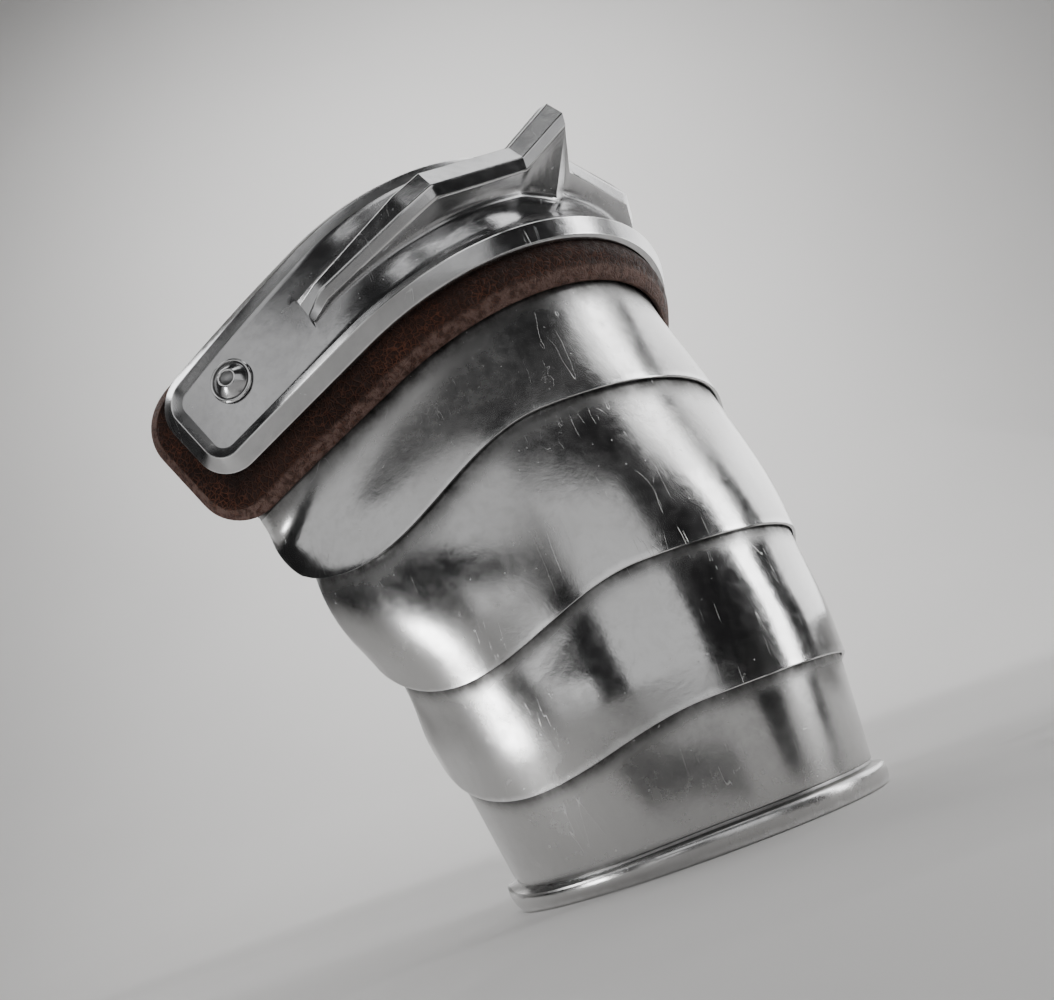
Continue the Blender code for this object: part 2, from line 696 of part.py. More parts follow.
def main():
    """Build the armour."""
    clear_scene()
    stand = bpy.data.objects.new("stand", None)
    bpy.context.scene.collection.objects.link(stand)
    steel = make_material("worn_steel", (0.55, 0.55, 0.56), 0.28, 1.0)
    band_steel = make_material("band_steel", (0.50, 0.50, 0.51), 0.25, 1.0)
    leather = make_material("brown_leather", (0.085, 0.035, 0.024), 0.62, 0.0)
    rivet_steel = make_material("rivet_steel", (0.42, 0.42, 0.43), 0.25, 1.0)

    parts = [build_cuff_lame("lame_4_cuff", steel, stand)]
    for number, bottom in ((3, 1), (2, 2), (1, 3)):
        parts.append(build_lame(f"lame_{number}", bottom, steel, stand))
    pad = build_leather(leather, stand)
    band = build_band(band_steel, stand)
    add_boolean(band, build_crest_shape(band_steel, stand), "UNION")
    for side, run in (("front", RIVET_RUN), ("back", -RIVET_RUN)):
        hole = build_rivet_hole(f"hole_{side}", run, rivet_steel, stand)
        add_boolean(pad, hole, "DIFFERENCE")
        add_boolean(band, hole, "DIFFERENCE")
        parts.append(build_rivet(f"rivet_{side}", run, rivet_steel, stand))
    stand_in_middle(stand, parts + [pad, band])


main()
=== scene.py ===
"""Shoulder armour on a studio floor: polished steel lames, a leather collar and a crested shoulder band.

Metres, +Z up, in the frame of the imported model. +X is the outer side of the arm and -Y is the front. A run
is a length along a hem or the band, from the outer point, negative behind and positive in front.
"""

import logging
import math
from collections.abc import Callable, Sequence
from dataclasses import dataclass, field
from enum import Enum

import bpy
import numpy as np
from mathutils import Matrix, Vector


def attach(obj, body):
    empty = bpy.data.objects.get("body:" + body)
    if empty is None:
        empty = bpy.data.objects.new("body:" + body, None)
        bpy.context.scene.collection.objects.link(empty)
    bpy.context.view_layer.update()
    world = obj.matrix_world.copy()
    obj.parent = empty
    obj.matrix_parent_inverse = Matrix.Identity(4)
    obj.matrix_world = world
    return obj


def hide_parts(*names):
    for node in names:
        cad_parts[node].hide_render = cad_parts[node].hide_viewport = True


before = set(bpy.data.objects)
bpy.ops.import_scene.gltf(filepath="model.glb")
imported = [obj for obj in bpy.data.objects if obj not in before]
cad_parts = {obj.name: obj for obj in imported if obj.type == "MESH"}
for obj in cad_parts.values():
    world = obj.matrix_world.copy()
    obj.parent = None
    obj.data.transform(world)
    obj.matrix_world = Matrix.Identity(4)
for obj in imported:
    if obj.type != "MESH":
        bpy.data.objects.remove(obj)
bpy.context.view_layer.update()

log = logging.getLogger("armour")

Grid = np.ndarray
Points = np.ndarray
Face = list[int]

RUN_TOLERANCE = 1e-7
LEAST_LENGTH = 1e-12
NODE_COLUMNS = 12
NODE_STEP = (220, -260)


class Slot(Enum):
    """The record's material slots."""

    LAME = "lame_steel"
    BAND = "band_steel"
    RIVET = "rivet_steel"
    LEATHER = "leather"


@dataclass(frozen=True)
class Hem:
    """One hem of the arm, in shares of the sizes in ArmForm."""

    height: float
    setback: float
    radius: float
    arc: float
    leg: float
    lean: float
    drop: float
    low_point: float
    lift: float
    trim: float


@dataclass(frozen=True)
class ArmForm:
    """The skin that the lames, the leather and the band follow."""

    stand_shift: float = 0.004924
    cuff_radius: float = 0.0754
    shoulder_radius: float = 0.1035
    shoulder_height: float = 0.1515
    shoulder_setback: float = 0.041
    shoulder_lean: float = 11.2
    lobe_drop: float = 0.018
    lobe_start: float = 0.42
    corner_lift: float = 0.041
    band_height: float = 0.1965
    band_setback: float = 0.0335
    band_radius: float = 0.0975
    band_arc: float = 64.5
    band_leg: float = 0.077
    band_lean: float = 23.5
    band_mid_width: float = 0.0685
    band_end_width: float = 0.047
    band_mid_tilt: float = 12.5
    band_end_tilt: float = -9.5
    band_end_skew: float = 0.08
    band_edge: float = 0.0026
    field_lift: float = 0.0030
    seat_gap: float = 0.0004
    leather_thickness: float = 0.0045
    leather_below: float = 0.016
    leather_bend: float = 0.0092
    leather_curve: float = 1.4
    collar_tuck: float = 0.018
    collar_trim: float = 0.003
    collar_blend: float = 0.35
    # Height, setback, radius, arc, leg, lean, drop, low point, lift and trim, from the cuff up.
    hems: tuple[Hem, ...] = (
        Hem(0.000, 0.00, 0.000, 129.0, 0.305, 0.000, 0.00, 0.61, 0.000, 0.0),
        Hem(0.311, 0.15, 0.245, 121.0, 0.163, 0.270, 0.46, 0.61, 0.815, 0.8),
        Hem(0.634, 0.41, 0.555, 114.0, 0.083, 0.475, 0.74, 0.65, 0.866, 0.9),
        Hem(1.000, 1.00, 1.000, 106.5, 0.024, 1.000, 1.00, 0.69, 0.740, 1.3),
    )

    @property
    def half_run(self) -> float:
        """Half the length of the band."""
        return self.band_radius * math.radians(self.band_arc) + self.band_leg

    @property
    def leather_top(self) -> float:
        """Lift of the leather's outer face."""
        return -self.band_edge - self.seat_gap

    @property
    def leather_base(self) -> float:
        """Lift of the leather's inner face."""
        return self.leather_top - self.leather_thickness

    @property
    def collar_place(self) -> int:
        """The place of the leather's lower edge, counted in hems."""
        return len(self.hems)

    @staticmethod
    def trace(run: Points, radius: float, arc: float) -> tuple[Points, Points, Points]:
        """Follow an arc with straight legs.

        Args:
            run: Lengths from the outer point.
            radius: Radius of the arc.
            arc: Angle on each side of the outer point, in degrees.

        Returns:
            Flat points, forward tangents and outward normals.
        """
        side = np.where(run < 0, -1.0, 1.0)
        length = np.abs(run)
        turn = np.minimum(length / radius, math.radians(arc))
        beyond = np.maximum(length - radius * math.radians(arc), 0.0)
        tangent = np.stack([-np.sin(turn), -np.cos(turn)], -1)
        normal = np.stack([np.cos(turn), -np.sin(turn)], -1)
        flat = radius * normal + beyond[..., None] * tangent
        mirror = np.stack([np.ones_like(side), side], -1)
        return flat * mirror, tangent * mirror, normal * mirror

    @staticmethod
    def axes(lean: float) -> tuple[Points, Points, Points]:
        """Give the outward, sideways and upward axes of a leaning plane.

        Args:
            lean: Lean over the shoulder, in degrees.

        Returns:
            The three axes.
        """
        angle = math.radians(lean)
        outward = np.array([math.cos(angle), 0.0, math.sin(angle)])
        upward = np.array([-math.sin(angle), 0.0, math.cos(angle)])
        return outward, np.array([0.0, 1.0, 0.0]), upward

    def hem_radius(self, hem: Hem) -> float:
        """Give the radius of a hem's arc."""
        return self.cuff_radius + hem.radius * (self.shoulder_radius - self.cuff_radius)

    def hem_half_run(self, hem: Hem) -> float:
        """Give the length of a hem from its outer point to its free edge."""
        return self.hem_radius(hem) * (math.radians(hem.arc) + hem.leg)

    def hem_points(self, hem: Hem, shares: Points) -> Points:
        """Trace a hem: flat in the middle, then a low lobe and a raised corner.

        Args:
            hem: The hem.
            shares: Shares of its half run.

        Returns:
            The points.
        """
        flat, _, _ = self.trace(shares * self.hem_half_run(hem), self.hem_radius(hem), hem.arc)
        outward, sideways, upward = self.axes(hem.lean * self.shoulder_lean)
        share = np.abs(shares)
        start = self.lobe_start * hem.low_point
        falling = np.clip((share - start) / (hem.low_point - start), 0.0, 1.0)
        rising = np.maximum(share - hem.low_point, 0.0) / (1.0 - hem.low_point)
        wave = -0.5 * hem.drop * self.lobe_drop * (1.0 - np.cos(math.pi * falling))
        wave += hem.lift * self.corner_lift * rising**2
        centre = np.array([-hem.setback * self.shoulder_setback, 0.0, hem.height * self.shoulder_height])
        centre[0] += self.stand_shift
        return centre + flat[:, :1] * outward + flat[:, 1:] * sideways + wave[:, None] * upward

    def end_share(self, run: Points) -> Points:
        """Give how far each run is from the outer point to the band's end, from 0 to 1."""
        return np.clip(np.abs(run) / self.half_run, 0.0, 1.0)

    def band_width(self, run: Points) -> Points:
        """Give the band's width at each run."""
        gain = self.band_mid_width - self.band_end_width
        return self.band_end_width + gain * np.cos(0.5 * math.pi * self.end_share(run))

    def band_frame(self, run: Points) -> tuple[Points, Points, Points, Points]:
        """Give the band's frame at each run.

        Args:
            run: Lengths along the band.

        Returns:
            The lower edge's points and the forward, across and outward directions.
        """
        run = np.atleast_1d(np.asarray(run, float))
        flat, tangent, normal = self.trace(run, self.band_radius, self.band_arc)
        share = self.end_share(run)
        swing = self.band_mid_tilt - self.band_end_tilt
        tilt = np.radians(self.band_end_tilt + swing * np.cos(0.5 * math.pi * share))
        outward, sideways, upward = self.axes(self.band_lean)
        centre = np.array([self.stand_shift - self.band_setback, 0.0, self.band_height])
        foot = centre + flat[..., :1] * outward + flat[..., 1:] * sideways
        forward = tangent[..., :1] * outward + tangent[..., 1:] * sideways
        level = normal[..., :1] * outward + normal[..., 1:] * sideways
        across = np.cos(tilt)[..., None] * upward - np.sin(tilt)[..., None] * level
        face = np.cos(tilt)[..., None] * level + np.sin(tilt)[..., None] * upward
        skewed = across + self.band_end_skew * (share**2)[..., None] * forward
        return foot, forward, skewed, face

    def band_points(self, run: Points, across: Points, lift: Points) -> Points:
        """Give points of the band's surface.

        Args:
            run: Lengths along the band.
            across: Distances up its face from the lower edge.
            lift: Distances off its face.

        Returns:
            The points.
        """
        foot, _, upward, face = self.band_frame(run)
        run = np.atleast_1d(run)
        across = np.broadcast_to(across, run.shape)[..., None]
        lift = np.broadcast_to(lift, run.shape)[..., None]
        return foot + across * upward + lift * face

    def leather_points(self, run: Points, across: Points, lift: Points) -> Points:
        """Give points of the leather, which bends in below the band's lower edge.

        Args:
            run: Lengths along the band.
            across: Distances up the band's face.
            lift: Distances off the leather's surface.

        Returns:
            The points.
        """
        foot, _, upward, face = self.band_frame(run)
        run = np.atleast_1d(run)
        across = np.broadcast_to(across, run.shape)
        bend = self.leather_bend * np.cos(0.5 * math.pi * self.end_share(run) ** 2)
        below = np.maximum(-across, 0.0) / self.leather_below
        sink = bend * below**self.leather_curve
        slope = bend * self.leather_curve * below ** (self.leather_curve - 1.0) / self.leather_below
        normal = (face - slope[..., None] * upward) / np.sqrt(1.0 + slope**2)[..., None]
        lift = np.broadcast_to(lift, run.shape)[..., None]
        return foot + across[..., None] * upward - sink[..., None] * face + lift * normal

    def skin_points(self, place: float, shares: Points) -> Points:
        """Give points of the smooth skin that all the lames follow.

        Args:
            place: Height, counted in hems from the cuff, with the leather's lower edge after the last.
            shares: Shares of the half run.

        Returns:
            The points.
        """
        runs = shares * (self.half_run - self.collar_trim)
        collar_lift = self.leather_base - self.seat_gap
        if place >= self.collar_place:
            tucked = -self.leather_below + (place - self.collar_place) * self.collar_tuck
            return self.leather_points(runs, tucked, collar_lift)
        knots = [self.hem_points(hem, shares) for hem in self.hems]
        for tuck in (0.0, self.collar_tuck):
            knots.append(self.leather_points(runs, tuck - self.leather_below, collar_lift))
        chain = np.array(knots)
        steps = np.diff(chain, axis=0)
        lengths = np.linalg.norm(steps, axis=2, keepdims=True)
        slopes = steps / lengths
        tangents = np.empty_like(chain[:-1])
        tangents[0] = slopes[0]
        tangents[1:] = (slopes[:-1] * lengths[1:] + slopes[1:] * lengths[:-1]) / (lengths[:-1] + lengths[1:])
        tangents[-1] = self.collar_blend * slopes[-1] + (1.0 - self.collar_blend) * slopes[-2]
        index = min(int(place), self.collar_place - 1)
        t = place - index
        leaving = lengths[index] * tangents[index]
        arriving = lengths[index] * tangents[index + 1]
        start = (2 * t**3 - 3 * t**2 + 1) * chain[index] + (t**3 - 2 * t**2 + t) * leaving
        end = (3 * t**2 - 2 * t**3) * chain[index + 1] + (t**3 - t**2) * arriving
        return start + end

    def skin_normals(self, place: float, shares: Points) -> Points:
        """Give the outward normals of the skin.

        Args:
            place: Height, counted in hems.
            shares: Shares of the half run.

        Returns:
            The unit normals.
        """
        step = 0.01
        along = self.skin_points(place + step, shares) - self.skin_points(max(place - step, 0.0), shares)
        round_it = self.skin_points(place, shares + step) - self.skin_points(place, shares - step)
        return unit(np.cross(along, round_it))


def unit(vectors: Points) -> Points:
    """Scale vectors to a length of one."""
    return vectors / np.maximum(np.linalg.norm(vectors, axis=-1, keepdims=True), LEAST_LENGTH)


def smooth_step(low: float, high: float, value: Points) -> Points:
    """Give an eased step from 0 at low to 1 at high."""
    t = np.clip((value - low) / (high - low), 0.0, 1.0)
    return t * t * (3.0 - 2.0 * t)


@dataclass
class SurfaceMesh:
    """Points, faces and masks of a mesh that is being built."""

    points: list[Points] = field(default_factory=list)
    faces: list[Face] = field(default_factory=list)
    masks: dict[str, list[float]] = field(default_factory=dict)

    def add(self, point: Points, **masks: float) -> int:
        """Add a point with its masks.

        Args:
            point: The point.
            **masks: Values of the point's masks.

        Returns:
            The point's index.
        """
        self.points.append(point)
        for name, value in masks.items():
            self.masks.setdefault(name, []).append(float(value))
        return len(self.points) - 1

    def fill(self, index: Grid, flipped: bool) -> None:
        """Add the faces between the points of a grid.

        Args:
            index: Indices of the points, in rows and columns.
            flipped: Whether the faces look the other way.
        """
        rows, columns = index.shape
        for row in range(rows - 1):
            for column in range(columns - 1):
                spots = ((row, column), (row, column + 1), (row + 1, column + 1), (row + 1, column))
                face = [int(index[spot]) for spot in spots]
                self.faces.append(face[::-1] if flipped else face)

    def join(self, rings: Sequence[Sequence[int]], flipped: bool = False) -> None:
        """Add the faces between closed rings of points, which may begin or end in one point.

        Args:
            rings: Indices of each ring's points.
            flipped: Whether the faces look the other way.
        """
        for first, second in zip(rings, rings[1:]):
            count = max(len(first), len(second))
            for here in range(count):
                pairs = ((first, here), (first, here + 1), (second, here + 1), (second, here))
                face = list(dict.fromkeys(ring[spot % len(ring)] for ring, spot in pairs))
                self.faces.append(face[::-1] if flipped else face)

    def make(self, name: str, crease: float = 32.0) -> bpy.types.Object:
        """Make the Blender object.

        Args:
            name: Name of the piece.
            crease: Angle in degrees above which an edge stays sharp.

        Returns:
            The object, smooth-shaded.
        """
        mesh = bpy.data.meshes.new(name)
        mesh.from_pydata([tuple(map(float, point)) for point in self.points], [], self.faces)
        for mask, values in self.masks.items():
            layer = mesh.attributes.new(mask, "FLOAT", "POINT")
            layer.data.foreach_set("value", np.array(values, np.float32))
        mesh.update()
        mesh.shade_smooth()
        mesh.set_sharp_from_angle(angle=math.radians(crease))
        obj = bpy.data.objects.new(name, mesh)
        bpy.context.scene.collection.objects.link(obj)
        return obj


def border_spots(rows: int, columns: int) -> list[tuple[int, int]]:
    """Walk round the border of a grid.

    Args:
        rows: Number of rows.
        columns: Number of columns.

    Returns:
        Rows and columns of the border's points, in order.
    """
    spots = [(0, column) for column in range(columns)]
    spots += [(row, columns - 1) for row in range(1, rows)]
    spots += [(rows - 1, column) for column in range(columns - 2, -1, -1)]
    spots += [(row, 0) for row in range(rows - 2, 0, -1)]
    return spots


def spots_outward(grid: Grid) -> dict[tuple[int, int], Points]:
    """Find the direction out of the grid, in its surface, at each point of its border.

    Args:
        grid: Points in rows and columns.

    Returns:
        The unit direction at each border spot.
    """
    rows, columns = grid.shape[:2]
    ways = {}
    for row, column in border_spots(rows, columns):
        way = np.zeros(3)
        if row in (0, rows - 1):
            way += unit(grid[row, column] - grid[1 if row == 0 else rows - 2, column])
        if column in (0, columns - 1):
            way += unit(grid[row, column] - grid[row, 1 if column == 0 else columns - 2])
        ways[row, column] = unit(way)
    return ways


@dataclass
class SteelSheet:
    """A bent steel sheet with a worn, rounded border.

    The masks are wear, which is 1 along the free edges, and a mask of painted shade, which is 1 where shade
    is painted into the colour: under the hem above, on the inner face and in creases.
    """

    outer: Grid
    inner: Grid
    wear: Grid
    soot: Grid
    rounding: float = 0.0005
    inner_wear: float = 0.4
    # Painted shade over the whole inner face.
    inner_soot: float = 0.62
    # Share of the thickness and share of the rounding of each ring round the border.
    edge_rings: tuple[tuple[float, float], ...] = ((0.14, 0.30), (0.35, 0.0), (0.65, 0.0), (0.86, 0.30))

    def build(self) -> SurfaceMesh:
        """Build the closed sheet.

        Returns:
            The mesh with its masks.
        """
        made = SurfaceMesh()
        rows, columns = self.outer.shape[:2]
        ways = spots_outward(self.outer)
        border = list(ways)
        zero = np.zeros((rows, columns))
        layers = (
            (self.outer.copy(), self.wear, self.soot),
            (self.inner.copy(), self.inner_wear * self.wear, zero + self.inner_soot),
        )
        loops = []
        for order, (grid, wears, soots) in enumerate(layers):
            for spot, way in ways.items():
                grid[spot] -= self.rounding * way
            index = np.zeros((rows, columns), int)
            for spot in np.ndindex(rows, columns):
                index[spot] = made.add(grid[spot], wear=wears[spot], soot=soots[spot])
            made.fill(index, order == 1)
            loops.append([int(index[spot]) for spot in border])
        rings = [loops[0]]
        for depth, stand in self.edge_rings:
            ring = []
            for spot in border:
                point = self.outer[spot] + depth * (self.inner[spot] - self.outer[spot])
                inward = stand * self.rounding * ways[spot]
                ring.append(made.add(point - inward, wear=self.wear[spot], soot=0.0))
            rings.append(ring)
        made.join([*rings, loops[1]], flipped=True)
        return made


@dataclass
class Lame:
    """One curved steel lame, which follows the skin from the hem above down to its own hem."""

    form: ArmForm
    node: str
    bottom: int
    wall: float = 0.0015
    clearance: float = 0.0006
    overlap: float = 0.012
    narrowing: float = 0.022
    lobe_trim: float = 0.007
    cut_run: float = 0.009
    cut_height: float = 0.016
    edge_curve: float = 1.6
    row_crowding: float = 1.25
    collar_end_share: float = 1.02
    rows: int = 34
    hidden_rows: int = 7
    columns: int = 132
    wear_width: float = 0.0035
    soot_width: float = 0.0042

    def spacing(self, lower: int) -> float:
        """Give the mean height from one hem to the next."""
        if lower >= self.form.collar_place - 1:
            return self.form.band_height - self.form.shoulder_height
        hems = self.form.hems
        return self.form.shoulder_height * (hems[lower + 1].height - hems[lower].height)

    def corner_cut(self, place: float) -> float:
        """Give the share that the rounded lower corner takes off the half run at a place."""
        hem = self.form.hems[self.bottom]
        height = (place - self.bottom) * self.spacing(self.bottom)
        below = 1.0 - min(max(height / self.cut_height, 0.0), 1.0)
        cut = hem.trim * self.cut_run / self.form.hem_half_run(hem)
        return cut * (1.0 - math.sqrt(max(1.0 - below**2, 0.0)))

    def places(self) -> list[float]:
        """List the places of the rows, from the hidden top to the hem."""
        top = self.bottom + 1
        hidden = 1.0
        if top < self.form.collar_place:
            hidden = self.overlap / self.spacing(top)
        tucked = [top + hidden * (1.0 - row / self.hidden_rows) for row in range(self.hidden_rows)]
        shares = [1.0 - row / self.rows for row in range(self.rows + 1)]
        return tucked + [self.bottom + share**self.row_crowding for share in shares]

    def station(self, place: float) -> tuple[float, float]:
        """Give the offset from the skin and the end share of the row at a place.

        Args:
            place: Height, counted in hems.

        Returns:
            The offset and the share of the half run.
        """
        top = self.bottom + 1
        hem = self.form.hems[self.bottom]
        if top >= self.form.collar_place:
            narrow = self.collar_end_share
            step_in = 0.0
        else:
            narrow = 1.0 - self.narrowing / self.form.hem_half_run(self.form.hems[top])
            step_in = self.wall + self.clearance
        near = self.overlap / self.spacing(self.bottom)
        settle = float(smooth_step(self.bottom + near, top, np.array(place)))
        end = 1.0 - hem.trim * self.lobe_trim / self.form.hem_half_run(hem)
        share = narrow + (end - narrow) * min(max(top - place, 0.0), 1.0) ** self.edge_curve
        return -step_in * settle, share - self.corner_cut(place)

    def row(self, place: float, offset: float, share: float) -> Points:
        """Give one row of points across the lame."""
        shares = np.linspace(-share, share, self.columns + 1)
        return self.form.skin_points(place, shares) + offset * self.form.skin_normals(place, shares)

    def masks(self, outer: Grid, places: Sequence[float]) -> tuple[Grid, Grid]:
        """Measure wear along the free edges and a painted shadow below the hem above.

        Args:
            outer: The outer grid.
            places: Place of each row.

        Returns:
            The two masks.
        """
        steps = np.linalg.norm(np.diff(outer, axis=0), axis=2)
        from_hem = np.concatenate([np.cumsum(steps[::-1], axis=0)[::-1], np.zeros((1, outer.shape[1]))])
        along = np.linalg.norm(np.diff(outer, axis=1), axis=2)
        zero = np.zeros((outer.shape[0], 1))
        from_left = np.concatenate([zero, np.cumsum(along, axis=1)], axis=1)
        from_right = from_left[:, -1:] - from_left
        distance = np.minimum(np.minimum(from_left, from_right), from_hem)
        wear = np.exp(-((distance / self.wear_width) ** 2))
        # Painted shadow under the hem of the piece above, fading down the lame.
        top_row = next(index for index, place in enumerate(places) if place <= self.bottom + 1)
        below_top = from_hem[top_row] - from_hem
        soot = np.exp(-((np.maximum(below_top, 0.0) / self.soot_width) ** 2))
        return wear, soot

    def build(self) -> bpy.types.Object:
        """Build the lame.

        Returns:
            The object.
        """
        places = self.places()
        stations = [(place, *self.station(place)) for place in places]
        outer = np.array([self.row(place, offset, share) for place, offset, share in stations])
        inner = np.array([self.row(place, offset - self.wall, share) for place, offset, share in stations])
        wear, soot = self.masks(outer, places)
        return SteelSheet(outer, inner, wear, soot).build().make(f"steel_{self.node}")


@dataclass
class CuffLame(Lame):
    """The lowest lame, with a ledge and a rolled lip that the armour stands on."""

    lip_stand: float = 0.0048
    lip_height: float = 0.0078
    lip_chamfer: float = 0.0016
    lip_rounding: float = 0.0003
    ledge_round: float = 0.0012
    ledge_clear: float = 0.0016
    ledge_soot: float = 0.8
    rim_wear_width: float = 0.0010
    rim_wear_drop: float = 0.0008
    least_step: float = 0.01

    def lip_profile(self) -> list[tuple[float, float]]:
        """List heights and depths behind the skin, from the wall over the ledge down to the underside."""
        high = self.lip_height
        rim = self.lip_chamfer
        turn = self.ledge_round
        return [
            (high + turn, self.lip_stand),
            (high + 0.25 * turn, self.lip_stand - 0.25 * turn),
            (high, self.lip_stand - turn),
            (high - 0.12 * rim, rim + turn),
            (high - 0.20 * rim, 0.60 * rim),
            (high - 0.55 * rim, 0.20 * rim),
            (high - 1.20 * rim, 0.0),
            (0.55 * high, -0.1 * turn),
            (0.40 * high, 0.0),
            (0.9 * rim, 0.18 * rim),
            (0.35 * rim, 0.50 * rim),
            (0.0, rim),
        ]

    def build(self) -> bpy.types.Object:
        """Build the cuff.

        Returns:
            The object.
        """
        spacing = self.spacing(0)
        step_in = self.wall + self.clearance
        floor_place = (self.lip_height + self.ledge_clear) / spacing
        kept = [place for place in self.places() if place > floor_place + self.least_step] + [floor_place]
        outer = []
        inner = []
        narrow = self.station(1.0)[1]
        for place in kept:
            share = self.station(place)[1]
            sink = step_in + (self.lip_stand - step_in) * min(max(1.0 - place, 0.0), 1.0)
            outer.append(self.row(place, -sink, share))
            inner.append(self.row(place, -sink - self.wall, share))
        for height, depth in self.lip_profile():
            place = height / spacing
            share = narrow + (1.0 - narrow) * (1.0 - place)
            outside = self.row(place, -depth, share)
            inside = self.row(place, -self.lip_stand - self.wall, share)
            if height == 0.0:
                outside[:, 2] = 0.0
                inside[:, 2] = 0.0
            outer.append(outside)
            inner.append(inside)
        shell = np.array(outer)
        wear, soot = self.masks(shell, kept + [0.0] * len(self.lip_profile()))
        above = shell[:, :, 2] - self.lip_height
        # Painted shade along the ledge above the lip.
        ledge = np.exp(-(((above - self.ledge_round) / self.ledge_round) ** 2))
        wear = np.maximum(wear, np.exp(-(((above + self.rim_wear_drop) / self.rim_wear_width) ** 2)))
        soot = np.maximum(soot, self.ledge_soot * ledge)
        sheet = SteelSheet(shell, np.array(inner), wear, soot, self.lip_rounding)
        return sheet.build().make(f"steel_{self.node}")


@dataclass
class RoundedStrip:
    """A closed strip with rounded corners that lies on the band's surface.

    Each ring is an inset, a lift, a wear and a painted shade, from the back over the edge to the face.
    """

    surface: Callable[[Points, Points, Points], Points]
    half_run: float
    corner: float
    low: Callable[[Points], Points]
    high: Callable[[Points], Points]
    middle_runs: Points
    least_corner: float = 0.3
    stretch_start: float = 0.55
    corner_steps: int = 14

    def outline(self, inset: float) -> tuple[Points, Points, Points]:
        """Give the runs and the lower and upper edges of an inset outline.

        Args:
            inset: Distance from the outer outline.

        Returns:
            Runs from the rear end to the front end, and the two edges there.
        """
        reach = self.half_run - inset
        radius = max(self.corner - inset, self.least_corner * self.corner)
        angles = np.linspace(0.0, 0.5 * math.pi, self.corner_steps + 1)
        corner_runs = reach - radius + radius * np.cos(angles)
        rise = radius - radius * np.sin(angles)
        straight = (reach - radius) / self.middle_runs[-1]
        span = np.abs(self.middle_runs) / self.middle_runs[-1]
        middle = self.middle_runs * (1.0 + (straight - 1.0) * smooth_step(self.stretch_start, 1.0, span))
        runs = np.concatenate([-corner_runs, middle[1:-1], corner_runs[::-1]])
        stand = np.concatenate([rise, np.zeros(len(middle) - 2), rise[::-1]]) + inset
        return runs, self.low(runs) + stand, self.high(runs) - stand

    def grid(self, inset: float, lift: float, shares: Callable[[Points], Points]) -> tuple[Grid, Grid, Grid]:
        """Give the points of one ring, filled with rows.

        Args:
            inset: Distance from the outer outline.
            lift: Distance off the surface.
            shares: Gives the rows' shares of the width at each run.

        Returns:
            The points, the runs and the distances across.
        """
        runs, low, high = self.outline(inset)
        rows = shares(runs)
        across = low + rows * (high - low)
        spread = np.broadcast_to(runs, across.shape)
        return np.array([self.surface(runs, line, lift) for line in across]), spread, across

    def build(
        self,
        rings: Sequence[tuple[float, float, float, float]],
        shares: Callable[[Points], Points],
        raise_face: Callable[[Grid, Grid, Grid], tuple[Grid, Grid, Grid]],
    ) -> SurfaceMesh:
        """Build the closed strip.

        Args:
            rings: Inset, lift, wear and painted shade of each ring.
            shares: Gives the rows' shares of the width at each run.
            raise_face: Takes the last ring's points, runs and distances across and returns the face's
                points, wear and painted shade.

        Returns:
            The mesh with its masks.
        """
        made = SurfaceMesh()
        loops = []
        for order, (inset, lift, wear, soot) in enumerate(rings):
            grid, runs, across = self.grid(inset, lift, shares)
            rows, columns = grid.shape[:2]
            wears = np.full((rows, columns), wear)
            soots = np.full((rows, columns), soot)
            last = order == len(rings) - 1
            if last:
                grid, wears, soots = raise_face(grid, runs, across)
            border = border_spots(rows, columns)
            filled = order == 0 or last
            inside = [(r, c) for r in range(1, rows - 1) for c in range(1, columns - 1)] if filled else []
            index = np.zeros((rows, columns), int)
            for spot in border + inside:
                index[spot] = made.add(grid[spot], wear=wears[spot], soot=soots[spot])
            if filled:
                made.fill(index, not last)
            loops.append([int(index[spot]) for spot in border])
        made.join(loops)
        return made


